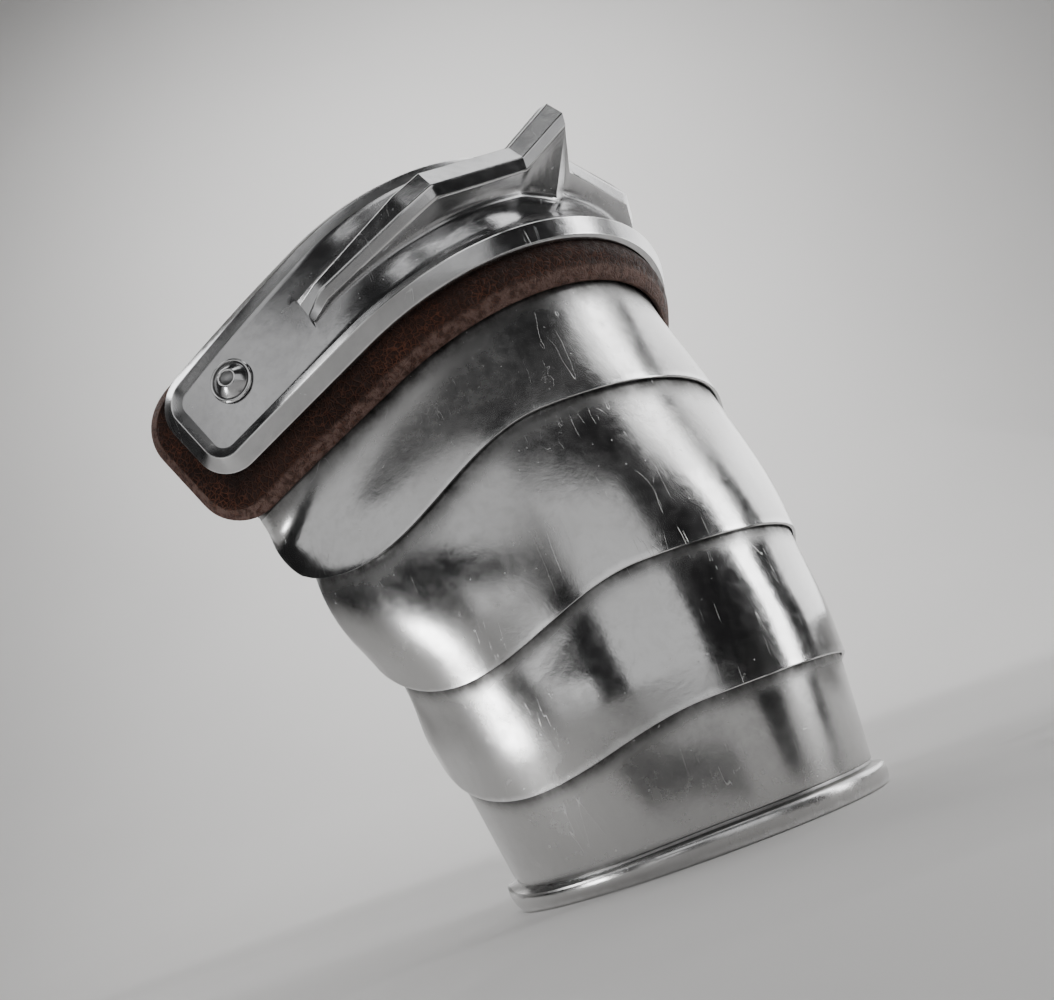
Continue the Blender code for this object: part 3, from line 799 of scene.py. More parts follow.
@dataclass
class Crest:
    """The chamfered bar along the band, which bends up into a spike over the shoulder."""

    form: ArmForm
    top_width: float = 0.0094
    toe_width: float = 0.0042
    end_width: float = 0.0060
    chamfer: float = 0.0036
    foot_blend: float = 0.0040
    toe_run: float = 0.1085
    kink_run: float = 0.0680
    peak_run: float = 0.0558
    spike_foot_run: float = 0.0142
    spike_flare: float = 0.0050
    back_shift: float = 0.0045
    toe_height: float = 0.0050
    kink_height: float = 0.0108
    peak_height: float = 0.0142
    bar_height: float = 0.0136
    spike_height: float = 0.0315
    toe_slope: float = 0.0095
    toe_end: float = 0.40
    mid_centre: float = 0.569
    toe_centre: float = 0.50
    lean: float = 0.08
    chamfer_share: float = 0.55
    foot_share: float = 0.26
    foot_soot: float = 0.35
    rounding: float = 0.00026
    rounding_share: float = 0.2
    wall_share: float = 0.8
    rounding_turn: float = 0.7
    edge_band: float = 3.0
    end_draft: float = 0.0012
    edge_wear: tuple[float, ...] = (0.0, 0.8, 1.0, 0.0, 0.0, 1.0, 0.7, 0.0)
    foot_curve: tuple[tuple[float, float], ...] = (
        (1.00, 0.00),
        (0.74, 0.05),
        (0.52, 0.14),
        (0.34, 0.28),
        (0.19, 0.50),
        (0.08, 0.80),
        (0.02, 1.20),
    )

    def keys(self) -> list[Points]:
        """List run, height, top width and flare of the foot at each corner, from the rear to the front."""
        end = self.toe_run + self.toe_slope
        half = [
            (0.0, self.spike_height, self.top_width, self.spike_flare),
            (self.spike_foot_run, self.bar_height, self.top_width, 0.0),
            (self.peak_run, self.peak_height, self.top_width, 0.0),
            (self.kink_run, self.kink_height, self.top_width, 0.0),
            (self.toe_run, self.toe_height, self.toe_width, 0.0),
            (end, self.toe_end * self.toe_height, self.end_width, 0.0),
            (end + self.end_draft, 0.0, self.end_width, 0.0),
        ]
        back = [(self.back_shift - run, *sizes) for run, *sizes in half[:0:-1]]
        return [np.array(key) for key in back + half]

    def centre(self, run: float) -> float:
        """Give the distance across to the middle of the crest's foot."""
        share = abs(run) / self.toe_run
        width = float(self.form.band_width(np.array(run)))
        return width * (self.mid_centre + (self.toe_centre - self.mid_centre) * share)

    def half_profile(self, height: float, top_width: float, flare: float) -> list[tuple[float, float]]:
        """List widths and lifts of half the section, from the edge of its foot up to its top.

        Args:
            height: Height of the crest there.
            top_width: Width of its flat top.
            flare: How far its foot stands out beyond its walls.

        Returns:
            The half section, always with the same number of points.
        """
        chamfer = min(self.chamfer, self.chamfer_share * height)
        top = 0.5 * top_width
        side = top + self.chamfer
        spread = min(self.foot_blend, self.foot_share * height)
        soft = min(self.rounding, self.rounding_share * height)
        band = self.edge_band * soft
        turn = self.rounding_turn * soft
        wall = height - chamfer
        slope = chamfer / self.chamfer
        flared = flare / max(height, soft)
        low = [
            (side + flare + spread * reach, min(spread * rise, self.wall_share * wall))
            for reach, rise in self.foot_curve
        ]
        return low + [
            (side + flared * band, wall - band),
            (side + 0.5 * flared * soft, wall - soft),
            (side - turn, wall + slope * turn),
            (side - band, wall + slope * band),
            (top + band, height - slope * band),
            (top + turn, height - slope * turn),
            (top - soft, height),
            (top - band, height),
        ]

    def row_widths(self) -> Points:
        """Give the signed widths of the rows at full height, from the lower side to the upper."""
        half = [width for width, _ in self.half_profile(self.bar_height, self.top_width, 0.0)]
        return np.array([-width for width in half] + half[::-1])

    def section(self, key: Points) -> Points:
        """Give the points of one whole section."""
        run, height, top_width, flare = key
        half = self.half_profile(height, top_width, flare)
        profile = [(-width, lift) for width, lift in half] + half[::-1]
        centre = self.centre(run)
        across = np.array([centre + width + self.lean * lift for width, lift in profile])
        lifts = np.array([self.form.field_lift + lift for _, lift in profile])
        return self.form.band_points(np.full(len(profile), run), across, lifts)

    def raise_rows(self, runs: Points) -> dict[int, Points]:
        """Give the sections at the runs that the crest covers.

        The foot follows the band's curve and the top runs straight from corner to corner.

        Args:
            runs: Runs of the band's columns.

        Returns:
            The points of each covered column, by its number.
        """
        keys = self.keys()
        covered = {}
        foot = len(self.foot_curve)
        for column, run in enumerate(runs):
            if not keys[0][0] + RUN_TOLERANCE < run < keys[-1][0] - RUN_TOLERANCE:
                continue
            number = next(order for order in range(1, len(keys)) if run <= keys[order][0] + RUN_TOLERANCE)
            near, far = keys[number - 1], keys[number]
            share = (run - near[0]) / (far[0] - near[0])
            here = self.section(near + share * (far - near))
            start = self.section(near)
            straight = start + share * (self.section(far) - start)
            here[foot:-foot] = straight[foot:-foot]
            covered[column] = here
        return covered


@dataclass
class ShoulderBand:
    """The crested steel band, bevelled all round."""

    form: ArmForm
    crest: Crest
    corner: float = 0.015
    plate: float = 0.0024
    bevel: float = 0.0058
    rise: float = 0.0046
    field_inset: float = 0.0100
    edge_radius: float = 0.00035
    margin_rows: int = 4
    crease: float = 24.0
    columns: int = 120

    def runs(self) -> Points:
        """Give the runs of the columns, with one at each corner of the crest."""
        reach = self.form.half_run - self.corner
        marks = sorted({-reach, *(float(key[0]) for key in self.crest.keys()), reach})
        runs = [marks[0]]
        for near, far in zip(marks, marks[1:]):
            steps = max(1, round((far - near) / (2.0 * reach / self.columns)))
            runs += [near + (far - near) * step / steps for step in range(1, steps + 1)]
        return np.array(runs)

    def row_shares(self, runs: Points) -> Grid:
        """Give the rows' shares of the field's width at each run.

        Args:
            runs: Runs of the columns.

        Returns:
            One line of shares for each row.
        """
        width = self.form.band_width(runs)
        low = self.field_inset
        high = width - self.field_inset
        centre = np.array([self.crest.centre(run) for run in runs])
        crest = (centre + self.crest.row_widths()[:, None] - low) / (high - low)
        steps = np.arange(self.margin_rows)[:, None] / self.margin_rows
        below = crest[0] * steps
        above = 1.0 - (1.0 - crest[-1]) * steps[::-1]
        return np.clip(np.concatenate([below, crest, above]), 0.0, 1.0)

    def raise_face(self, grid: Grid, runs: Grid, across: Grid) -> tuple[Grid, Grid, Grid]:
        """Lift the crest out of the field.

        Args:
            grid: The flat field.
            runs: Runs of its points.
            across: Distances across of its points.

        Returns:
            The points, the wear and the painted shade.
        """
        raised = grid.copy()
        wear = np.zeros(grid.shape[:2])
        soot = np.zeros(grid.shape[:2])
        first = self.margin_rows
        last = grid.shape[0] - self.margin_rows
        foot = len(self.crest.foot_curve)
        for column, section in self.crest.raise_rows(runs[0]).items():
            raised[first:last, column] = section
            wear[first + foot : last - foot, column] = self.crest.edge_wear + self.crest.edge_wear[::-1]
            # Painted shade in the crest's foot on both sides.
            soot[first : first + foot, column] = self.crest.foot_soot
            soot[last - foot : last, column] = self.crest.foot_soot
        return raised, wear, soot

    def build(self) -> bpy.types.Object:
        """Build the band.

        Returns:
            The object.
        """
        edge = -self.form.band_edge
        field = self.form.field_lift
        soft = self.edge_radius
        # Each ring is an inset, a lift, a wear and a painted shade; the back and the foot of the raised
        # border get painted shade.
        rings = (
            (self.field_inset, field - self.plate, 0.0, 1.0),
            (self.bevel, edge + 0.4 * self.rise, 0.0, 1.0),
            (0.35 * self.bevel, edge, 0.0, 0.6),
            (2.0 * soft, edge, 0.2, 0.2),
            (0.3 * soft, edge + 0.3 * soft, 0.8, 0.0),
            (0.0, edge + 1.4 * soft, 0.4, 0.0),
            (0.0, -1.2 * soft, 0.4, 0.0),
            (0.25 * soft, -0.2 * soft, 1.0, 0.0),
            (1.6 * soft, 1.1 * soft, 0.35, 0.0),
            (self.bevel - 1.6 * soft, self.rise - 1.2 * soft, 0.25, 0.0),
            (self.bevel - 0.3 * soft, self.rise - 0.25 * soft, 1.0, 0.0),
            (self.bevel + 0.6 * soft, self.rise - 0.20 * soft, 1.0, 0.0),
            (self.bevel + 2.0 * soft, self.rise - 0.85 * soft, 0.2, 0.0),
            (self.field_inset - 1.2 * soft, field + 0.4 * soft, 0.0, 0.5),
            (self.field_inset, field, 0.0, 0.6),
        )
        strip = RoundedStrip(
            self.form.band_points,
            self.form.half_run,
            self.corner,
            np.zeros_like,
            self.form.band_width,
            self.runs(),
        )
        made = strip.build(rings, self.row_shares, self.raise_face)
        return made.make("steel_shoulder_band", self.crease)


@dataclass
class LeatherCollar:
    """The thick leather pad under the band, with a worn bevelled edge."""

    form: ArmForm
    bevel: float = 0.0042
    above: float = 0.0034
    beyond: float = 0.0122
    corner: float = 0.020
    edge: float = 0.40
    back_round: float = 0.0012
    puff: float = 0.0009
    press_width: float = 0.0005
    puff_width: float = 0.0060
    end_puff_width: float = 0.0070
    edge_width: float = 0.0050
    edge_wear: float = 0.75
    wear_width: float = 0.0024
    probe: float = 0.001
    close_rows: tuple[float, float, int] = (0.0, 0.30, 18)
    wide_rows: tuple[float, float, int] = (0.34, 0.95, 14)
    last_rows: tuple[float, ...] = (0.975, 1.0)
    crease: float = 24.0
    gap_shadow: float = 0.0038
    crown_shadow: float = 0.0042
    crown_run: float = 0.060
    columns: int = 150

    def row_shares(self, runs: Points) -> Grid:
        """Give the rows' shares of the leather's width, close together below the band."""
        shares = np.concatenate([np.linspace(*self.close_rows), np.linspace(*self.wide_rows), self.last_rows])
        return np.repeat(shares[:, None], len(runs), axis=1)

    def raise_face(self, grid: Grid, runs: Grid, across: Grid) -> tuple[Grid, Grid, Grid]:
        """Puff the leather up a little where the band doesn't press it.

        Args:
            grid: The flat face.
            runs: Runs of its points.
            across: Distances across of its points.

        Returns:
            The points, the wear and the painted shadow.
        """
        half_run = self.form.half_run
        from_edge = across + self.form.leather_below - self.bevel
        from_end = half_run + self.beyond - self.bevel - np.abs(runs)
        below = smooth_step(self.press_width, self.puff_width, -across)
        beyond = smooth_step(self.press_width, self.end_puff_width, np.abs(runs) - half_run)
        near_edge = smooth_step(0.0, self.edge_width, from_edge)
        near_end = smooth_step(0.0, self.edge_width, from_end)
        lift = self.puff * np.maximum(below, beyond) * near_edge * near_end
        raised = grid.copy()
        for row in range(1, grid.shape[0] - 1):
            flat = self.form.leather_points(runs[row], across[row], 0.0)
            proud = self.form.leather_points(runs[row], across[row], self.probe)
            raised[row] += unit(proud - flat) * lift[row][:, None]
        wear = self.edge_wear * np.exp(-from_edge / self.wear_width)
        # Painted shadow of the band on the leather just below its lower edge, deepest in the middle.
        depth = self.gap_shadow + self.crown_shadow * np.exp(-((runs / self.crown_run) ** 2))
        shadow = np.exp(-((np.maximum(-across, 0.0) / depth) ** 2)) * (np.abs(runs) < half_run)
        return raised, np.clip(wear, 0.0, 1.0), shadow

    def build(self) -> bpy.types.Object:
        """Build the collar.

        Returns:
            The object.
        """
        base = self.form.leather_base
        top = self.form.leather_top
        thick = self.form.leather_thickness
        turn = self.back_round
        # Each ring is an inset, a lift, a wear and a painted shade; the back and its rounded edge get painted
        # shade.
        rings = (
            (self.bevel, base, 0.0, 0.6),
            (turn, base, 0.2, 0.4),
            (0.25 * turn, base + 0.25 * turn, 0.6, 0.2),
            (0.0, base + 0.75 * turn, 0.8, 0.0),
            (0.0, base + self.edge * thick, 0.9, 0.0),
            (0.25 * turn, base + (self.edge + 0.08) * thick, 1.0, 0.0),
            (0.35 * self.bevel, base + (self.edge + 0.30) * thick, 1.0, 0.0),
            (0.72 * self.bevel, top - 0.14 * thick, 1.0, 0.0),
            (0.90 * self.bevel, top - 0.03 * thick, 0.9, 0.0),
            (1.05 * self.bevel, top, 0.7, 0.0),
        )
        half_run = self.form.half_run + self.beyond
        reach = half_run - self.corner
        runs = np.linspace(-reach, reach, self.columns + 1)
        strip = RoundedStrip(
            self.form.leather_points,
            half_run,
            self.corner,
            lambda run: np.full_like(run, -self.form.leather_below),
            lambda run: self.form.band_width(run) + self.above,
            runs,
        )
        return strip.build(rings, self.row_shares, self.raise_face).make("leather_pad", self.crease)


@dataclass
class Rivet:
    """A coned rivet in a turned ring, with a flat button in the middle."""

    form: ArmForm
    node: str
    run: float
    radius: float = 0.0088
    height: float = 0.0046
    shank_radius: float = 0.0024
    tail_radius: float = 0.0048
    tail_height: float = 0.0016
    place: float = 0.565
    crease: float = 40.0
    sides: int = 72

    def profile(self) -> list[tuple[float, float, float, float]]:
        """List radius, lift, wear and painted shade from the tail's middle to the button's middle."""
        back = self.form.leather_base - self.form.field_lift - self.form.seat_gap
        gap = self.form.seat_gap
        high = self.height
        wide = self.radius
        # Painted shade under the head, on the shank, in the groove and round the flat button.
        return [
            (0.0, back - self.tail_height, 0.0, 0.5),
            (0.93 * self.tail_radius, back - self.tail_height, 0.2, 0.3),
            (self.tail_radius, back - 0.8 * self.tail_height, 0.8, 0.0),
            (self.tail_radius, back, 0.2, 0.5),
            (self.shank_radius, back, 0.0, 1.0),
            (self.shank_radius, gap, 0.0, 1.0),
            (0.96 * wide, gap, 0.0, 1.0),
            (wide, gap + 0.04 * high, 0.4, 0.3),
            (0.995 * wide, gap + 0.14 * high, 0.8, 0.0),
            (0.960 * wide, gap + 0.21 * high, 1.0, 0.0),
            (0.905 * wide, gap + 0.235 * high, 0.9, 0.0),
            (0.865 * wide, gap + 0.21 * high, 0.2, 0.5),
            (0.840 * wide, gap + 0.17 * high, 0.0, 1.0),
            (0.815 * wide, gap + 0.19 * high, 0.0, 1.0),
            (0.790 * wide, gap + 0.25 * high, 0.5, 0.1),
            (0.440 * wide, 0.955 * high, 0.3, 0.0),
            (0.400 * wide, 0.995 * high, 1.0, 0.0),
            (0.350 * wide, 0.990 * high, 1.0, 0.0),
            (0.315 * wide, 0.900 * high, 0.1, 0.9),
            (0.290 * wide, 0.870 * high, 0.0, 0.6),
            (0.0, 0.880 * high, 0.0, 0.3),
        ]

    def build(self) -> bpy.types.Object:
        """Build the rivet.

        Returns:
            The object.
        """
        middle = self.place * float(self.form.band_width(np.array(self.run)))
        step = 0.001
        pair = np.array([self.run - step, self.run + step])
        near, far = self.form.band_points(pair, middle, self.form.field_lift)
        foot, _, across, face = (part[0] for part in self.form.band_frame(np.array([self.run])))
        sideways = unit(far - near)
        outward = unit(np.cross(sideways, across))
        outward *= np.sign(outward @ face)
        upward = np.cross(outward, sideways)
        centre = foot + middle * across + self.form.field_lift * face
        made = SurfaceMesh()
        rings = []
        for radius, lift, wear, soot in self.profile():
            count = 1 if radius == 0.0 else self.sides
            ring = []
            for side in range(count):
                angle = 2.0 * math.pi * side / self.sides
                ray = math.cos(angle) * sideways + math.sin(angle) * upward
                ring.append(made.add(centre + radius * ray + lift * outward, wear=wear, soot=soot))
            rings.append(ring)
        made.join(rings)
        return made.make(f"steel_{self.node}", self.crease)


@dataclass
class NodeGraph:
    """Places and joins shader nodes in a tree."""

    tree: bpy.types.NodeTree
    placed: int = 0

    def node(self, kind: str, **settings: object) -> bpy.types.Node:
        """Place a node.

        Args:
            kind: The node's type.
            **settings: Properties of the node.

        Returns:
            The node.
        """
        made = self.tree.nodes.new(kind)
        row, column = divmod(self.placed, NODE_COLUMNS)
        made.location = (NODE_STEP[0] * column, NODE_STEP[1] * row)
        self.placed += 1
        for name, value in settings.items():
            setattr(made, name, value)
        return made

    def feed(self, socket: bpy.types.NodeSocket, value: object) -> None:
        """Set a socket to a value, or link it to another socket."""
        if isinstance(value, bpy.types.NodeSocket):
            self.tree.links.new(value, socket)
        elif value is not None:
            socket.default_value = value

    def math(self, operation: str, first: object, second: object = None) -> bpy.types.NodeSocket:
        """Place a Math node.

        Args:
            operation: The operation.
            first: First value or socket.
            second: Second value or socket.

        Returns:
            Its output.
        """
        made = self.node("ShaderNodeMath", operation=operation)
        for socket, value in zip(made.inputs, (first, second)):
            self.feed(socket, value)
        return made.outputs[0]

    def span(
        self, value: object, low: object, high: object, start: float = 0.0, end: float = 1.0
    ) -> bpy.types.NodeSocket:
        """Map a value from one range to another, clamped.

        Args:
            value: The value or socket.
            low: Start of the range it is taken from.
            high: End of that range.
            start: Result at low.
            end: Result at high.

        Returns:
            The result.
        """
        made = self.node("ShaderNodeMapRange", interpolation_type="SMOOTHSTEP")
        names = ("Value", "From Min", "From Max", "To Min", "To Max")
        for name, given in zip(names, (value, low, high, start, end)):
            self.feed(made.inputs[name], given)
        return made.outputs[0]

    def noise(
        self,
        place: object,
        scale: object,
        detail: float,
        rough: float = 0.5,
        warp: float = 0.0,
        output: str = "Fac",
    ) -> bpy.types.NodeSocket:
        """Place a Noise Texture.

        Args:
            place: Coordinates.
            scale: Scale or socket.
            detail: Levels of detail.
            rough: Roughness of the detail.
            warp: Distortion.
            output: The output to take.

        Returns:
            Its grey value or colour.
        """
        made = self.node("ShaderNodeTexNoise")
        self.feed(made.inputs["Vector"], place)
        self.feed(made.inputs["Scale"], scale)
        made.inputs["Detail"].default_value = detail
        made.inputs["Roughness"].default_value = rough
        made.inputs["Distortion"].default_value = warp
        return made.outputs[output]

    def drifted(self, place: object, scale: float, detail: float, reach: float) -> bpy.types.NodeSocket:
        """Shift coordinates by a noise, so that what is drawn in them has wandering borders.

        Args:
            place: Coordinates.
            scale: Scale of the noise.
            detail: Its levels of detail.
            reach: How far it shifts them.

        Returns:
            The shifted coordinates.
        """
        shift = self.node("ShaderNodeVectorMath", operation="SCALE")
        self.feed(shift.inputs[0], self.noise(place, scale, detail, output="Color"))
        shift.inputs["Scale"].default_value = reach
        moved = self.node("ShaderNodeVectorMath", operation="ADD")
        self.feed(moved.inputs[0], place)
        self.feed(moved.inputs[1], shift.outputs[0])
        return moved.outputs[0]

    def cells(self, place: object, scale: float) -> bpy.types.NodeSocket:
        """Give the distance to the nearest border of a cell."""
        made = self.node("ShaderNodeTexVoronoi", feature="DISTANCE_TO_EDGE")
        self.feed(made.inputs["Vector"], place)
        made.inputs["Scale"].default_value = scale
        return made.outputs["Distance"]

    def bump(
        self, height: object, strength: float, distance: float, normal: object = None, invert: bool = False
    ) -> bpy.types.NodeSocket:
        """Tilt the normal by a height.

        Args:
            height: The height.
            strength: Strength of the tilt.
            distance: Metres from a height of 0 to a height of 1.
            normal: The normal to start from.
            invert: Whether the height goes down.

        Returns:
            The tilted normal.
        """
        made = self.node("ShaderNodeBump", invert=invert)
        made.inputs["Strength"].default_value = strength
        made.inputs["Distance"].default_value = distance
        self.feed(made.inputs["Height"], height)
        self.feed(made.inputs["Normal"], normal)
        return made.outputs["Normal"]

    def mapped(self, place: object, scale: Sequence[float], turn: Sequence[float]) -> bpy.types.NodeSocket:
        """Stretch and turn coordinates."""
        made = self.node("ShaderNodeMapping")
        self.feed(made.inputs["Vector"], place)
        made.inputs["Scale"].default_value = scale
        made.inputs["Rotation"].default_value = [math.radians(angle) for angle in turn]
        return made.outputs["Vector"]

    def blend(self, share: object, first: object, second: object) -> bpy.types.NodeSocket:
        """Mix two colours.

        Args:
            share: Share of the second colour.
            first: First colour or socket.
            second: Second colour or socket.

        Returns:
            The mixed colour.
        """
        made = self.node("ShaderNodeMix", data_type="RGBA")
        self.feed(made.inputs[0], share)
        for socket, colour in ((made.inputs[6], first), (made.inputs[7], second)):
            self.feed(socket, (*colour, 1.0) if isinstance(colour, tuple) else colour)
        return made.outputs[2]

    def attribute(self, name: str) -> bpy.types.NodeSocket:
        """Read one of the mesh's masks."""
        return self.node("ShaderNodeAttribute", attribute_name=name).outputs["Fac"]

    def place(self) -> bpy.types.NodeSocket:
        """Give the object's own coordinates."""
        return self.node("ShaderNodeTexCoord").outputs["Object"]

    def group(self, tree: bpy.types.NodeTree, **inputs: object) -> bpy.types.Node:
        """Place a node group and set its inputs."""
        made = self.node("ShaderNodeGroup")
        made.node_tree = tree
        for name, value in inputs.items():
            self.feed(made.inputs[name.replace("_", " ").capitalize()], value)
        return made


def new_group(
    name: str, inputs: dict[str, float], outputs: Sequence[str]
) -> tuple[NodeGraph, dict[str, bpy.types.NodeSocket], bpy.types.Node]:
    """Start a node group of grey values.

    Args:
        name: Name of the group.
        inputs: Names and defaults of its inputs.
        outputs: Names of its outputs.

    Returns:
        The graph, its input sockets by name and the output node.
    """
    tree = bpy.data.node_groups.new(name, "ShaderNodeTree")
    for title, value in inputs.items():
        socket = tree.interface.new_socket(title, in_out="INPUT", socket_type="NodeSocketFloat")
        socket.default_value = value
    for title in outputs:
        tree.interface.new_socket(title, in_out="OUTPUT", socket_type="NodeSocketFloat")
    graph = NodeGraph(tree)
    entry = graph.node("NodeGroupInput")
    exit_node = graph.node("NodeGroupOutput")
    return graph, {title: entry.outputs[title] for title in inputs}, exit_node


def new_material(name: str) -> tuple[bpy.types.Material, bpy.types.Node, NodeGraph]:
    """Start a material.

    Args:
        name: Its name.

    Returns:
        The material, its Principled BSDF and its graph.
    """
    material = bpy.data.materials.new(name)
    material.use_nodes = True
    return material, material.node_tree.nodes["Principled BSDF"], NodeGraph(material.node_tree)


class Effects:
    """The node groups that several finishes share."""

    def __init__(self) -> None:
        """Build each group once."""
        self.smudges = self.build_smudges()
        self.scratches = self.build_scratches()
        self.edge_wear = self.build_edge_wear()

    @staticmethod
    def build_smudges() -> bpy.types.NodeTree:
        """Build cloudy patches of polish with feathered, brushed borders.

        Returns:
            The group, with the outputs Patches, Fine and Waves.
        """
        inputs = {"Scale": 12.0, "Contrast": 0.5}
        graph, given, out = new_group("Smudges", inputs, ("Patches", "Fine", "Waves"))
        place = graph.place()
        drifted = graph.drifted(place, scale=40.0, detail=3.0, reach=0.014)
        broad = graph.noise(drifted, given["Scale"], detail=5.0, rough=0.50)
        half = graph.math("SUBTRACT", 0.40, graph.math("MULTIPLY", given["Contrast"], 0.22))
        low = graph.math("SUBTRACT", 0.50, half)
        high = graph.math("ADD", 0.50, half)
        graph.feed(out.inputs["Patches"], graph.span(broad, low=low, high=high))
        fine_scale = graph.math("MULTIPLY", given["Scale"], 14.0)
        graph.feed(out.inputs["Fine"], graph.noise(drifted, fine_scale, detail=5.0, rough=0.60))
        graph.feed(out.inputs["Waves"], graph.noise(place, given["Scale"], detail=1.0, rough=0.4))
        return graph.tree

    @staticmethod
    def build_scratches() -> bpy.types.NodeTree:
        """Build clusters of hair-fine curved scratches and small nicks.

        Returns:
            The group, with the output Scratches.
        """
        graph, given, out = new_group("Scratches", {"Scale": 60.0, "Amount": 0.5}, ("Scratches",))
        place = graph.place()
        nicks = graph.noise(place, 420.0, detail=2.0)
        total = graph.span(nicks, low=0.735, high=0.76)
        sets = (((20, 35, 10), 0.9), ((-50, 15, 60), 1.3), ((75, -30, 25), 0.6))
        for number, (turn, bow) in enumerate(sets):
            course = graph.mapped(place, scale=(1.0, 1.0, 0.10), turn=turn)
            line_scale = graph.math("MULTIPLY", given["Scale"], 1.0 + 0.35 * number)
            lines = graph.noise(course, line_scale, detail=2.0, warp=bow)
            thin = graph.math("ABSOLUTE", graph.math("SUBTRACT", lines, 0.5))
            area = graph.mapped(place, scale=(1.0, 1.0, 1.0), turn=(40 * number, 0, 0))
            patch = graph.noise(area, 34.0 + 9.0 * number, detail=3.0, rough=0.6)
            hair = graph.span(thin, low=0.0016, high=0.0)
            mark = graph.math("MULTIPLY", hair, graph.span(patch, low=0.56, high=0.64))
            total = graph.math("MAXIMUM", total, mark)
        graph.feed(out.inputs["Scratches"], graph.math("MULTIPLY", total, given["Amount"]))
        return graph.tree

    @staticmethod
    def build_edge_wear() -> bpy.types.NodeTree:
        """Build a mask of rubbed edges and one of painted shade, from the mesh's own masks.

        Returns:
            The group, with the output Rubbed and an output of painted shade.
        """
        graph, given, out = new_group("Edge wear", {"Breakup": 0.4, "Grime": 0.6}, ("Rubbed", "Grime"))
        place = graph.place()
        ragged = graph.noise(place, 150.0, detail=6.0, rough=0.65)
        loss = graph.math("MULTIPLY", graph.math("SUBTRACT", ragged, 0.5), given["Breakup"])
        worn = graph.math("ADD", graph.attribute("wear"), graph.math("MULTIPLY", loss, 2.0))
        graph.feed(out.inputs["Rubbed"], graph.span(worn, low=0.35, high=0.95))
        # Painted shade: the mesh's shade mask, broken up by a cloud.
        cloud = graph.span(graph.noise(place, 70.0, detail=6.0, rough=0.7), low=0.25, high=0.75, start=0.6)
        soot = graph.math("MULTIPLY", graph.attribute("soot"), cloud)
        graph.feed(out.inputs["Grime"], graph.math("MULTIPLY", soot, given["Grime"]))
        return graph.tree


@dataclass(frozen=True)
class WornSteel:
    """Polished steel that has been handled and cleaned many times."""

    slot: Slot
    bright: tuple[float, float, float]
    dull: tuple[float, float, float]
    # Colour of the painted shade under hems, in creases and on inner faces.
    grime: tuple[float, float, float] = (0.022, 0.021, 0.020)
    rubbed: tuple[float, float, float] = (0.82, 0.82, 0.82)
    polished: float = 0.11
    rough: float = 0.25
    smudge_scale: float = 17.0
    contrast: float = 0.75
    scratch_scale: float = 58.0
    scratches: float = 0.48
    breakup: float = 0.4
    specks: float = 0.30
    shade_roughness: float = 0.30
    scratch_roughness: float = 0.18
    waviness: float = 0.75

    def make(self, effects: Effects) -> bpy.types.Material:
        """Build the material.

        Args:
            effects: The shared node groups.

        Returns:
            The material.
        """
        material, shader, graph = new_material(self.slot.value)
        smudge = graph.group(effects.smudges, scale=self.smudge_scale, contrast=self.contrast)
        marks = graph.group(effects.scratches, scale=self.scratch_scale, amount=self.scratches)
        edges = graph.group(effects.edge_wear, breakup=self.breakup, grime=1.0)
        patches = smudge.outputs["Patches"]
        fine = smudge.outputs["Fine"]
        scratches = marks.outputs["Scratches"]
        grime = edges.outputs["Grime"]
        colour = graph.blend(patches, self.bright, self.dull)
        colour = graph.blend(graph.span(fine, low=0.42, high=0.66, end=self.specks), colour, self.dull)
        # Painted shade darkens the colour where the mesh's shade mask is.
        colour = graph.blend(grime, colour, self.grime)
        colour = graph.blend(scratches, colour, self.rubbed)
        colour = graph.blend(edges.outputs["Rubbed"], colour, self.rubbed)
        roughness = graph.span(patches, low=0.0, high=1.0, start=self.polished, end=self.rough)
        roughness = graph.math("ADD", roughness, graph.span(fine, low=0.30, high=0.75, start=-0.01, end=0.05))
        for mask, gain in ((grime, self.shade_roughness), (scratches, self.scratch_roughness)):
            roughness = graph.math("ADD", roughness, graph.math("MULTIPLY", mask, gain))
        waves = graph.bump(smudge.outputs["Waves"], strength=self.waviness, distance=0.0030)
        cuts = graph.bump(scratches, strength=0.35, distance=0.00012, normal=waves, invert=True)
        graph.feed(shader.inputs["Base Color"], colour)
        graph.feed(shader.inputs["Roughness"], roughness)
        graph.feed(shader.inputs["Normal"], graph.bump(fine, strength=0.42, distance=0.00010, normal=cuts))
        shader.inputs["Metallic"].default_value = 1.0
        return material


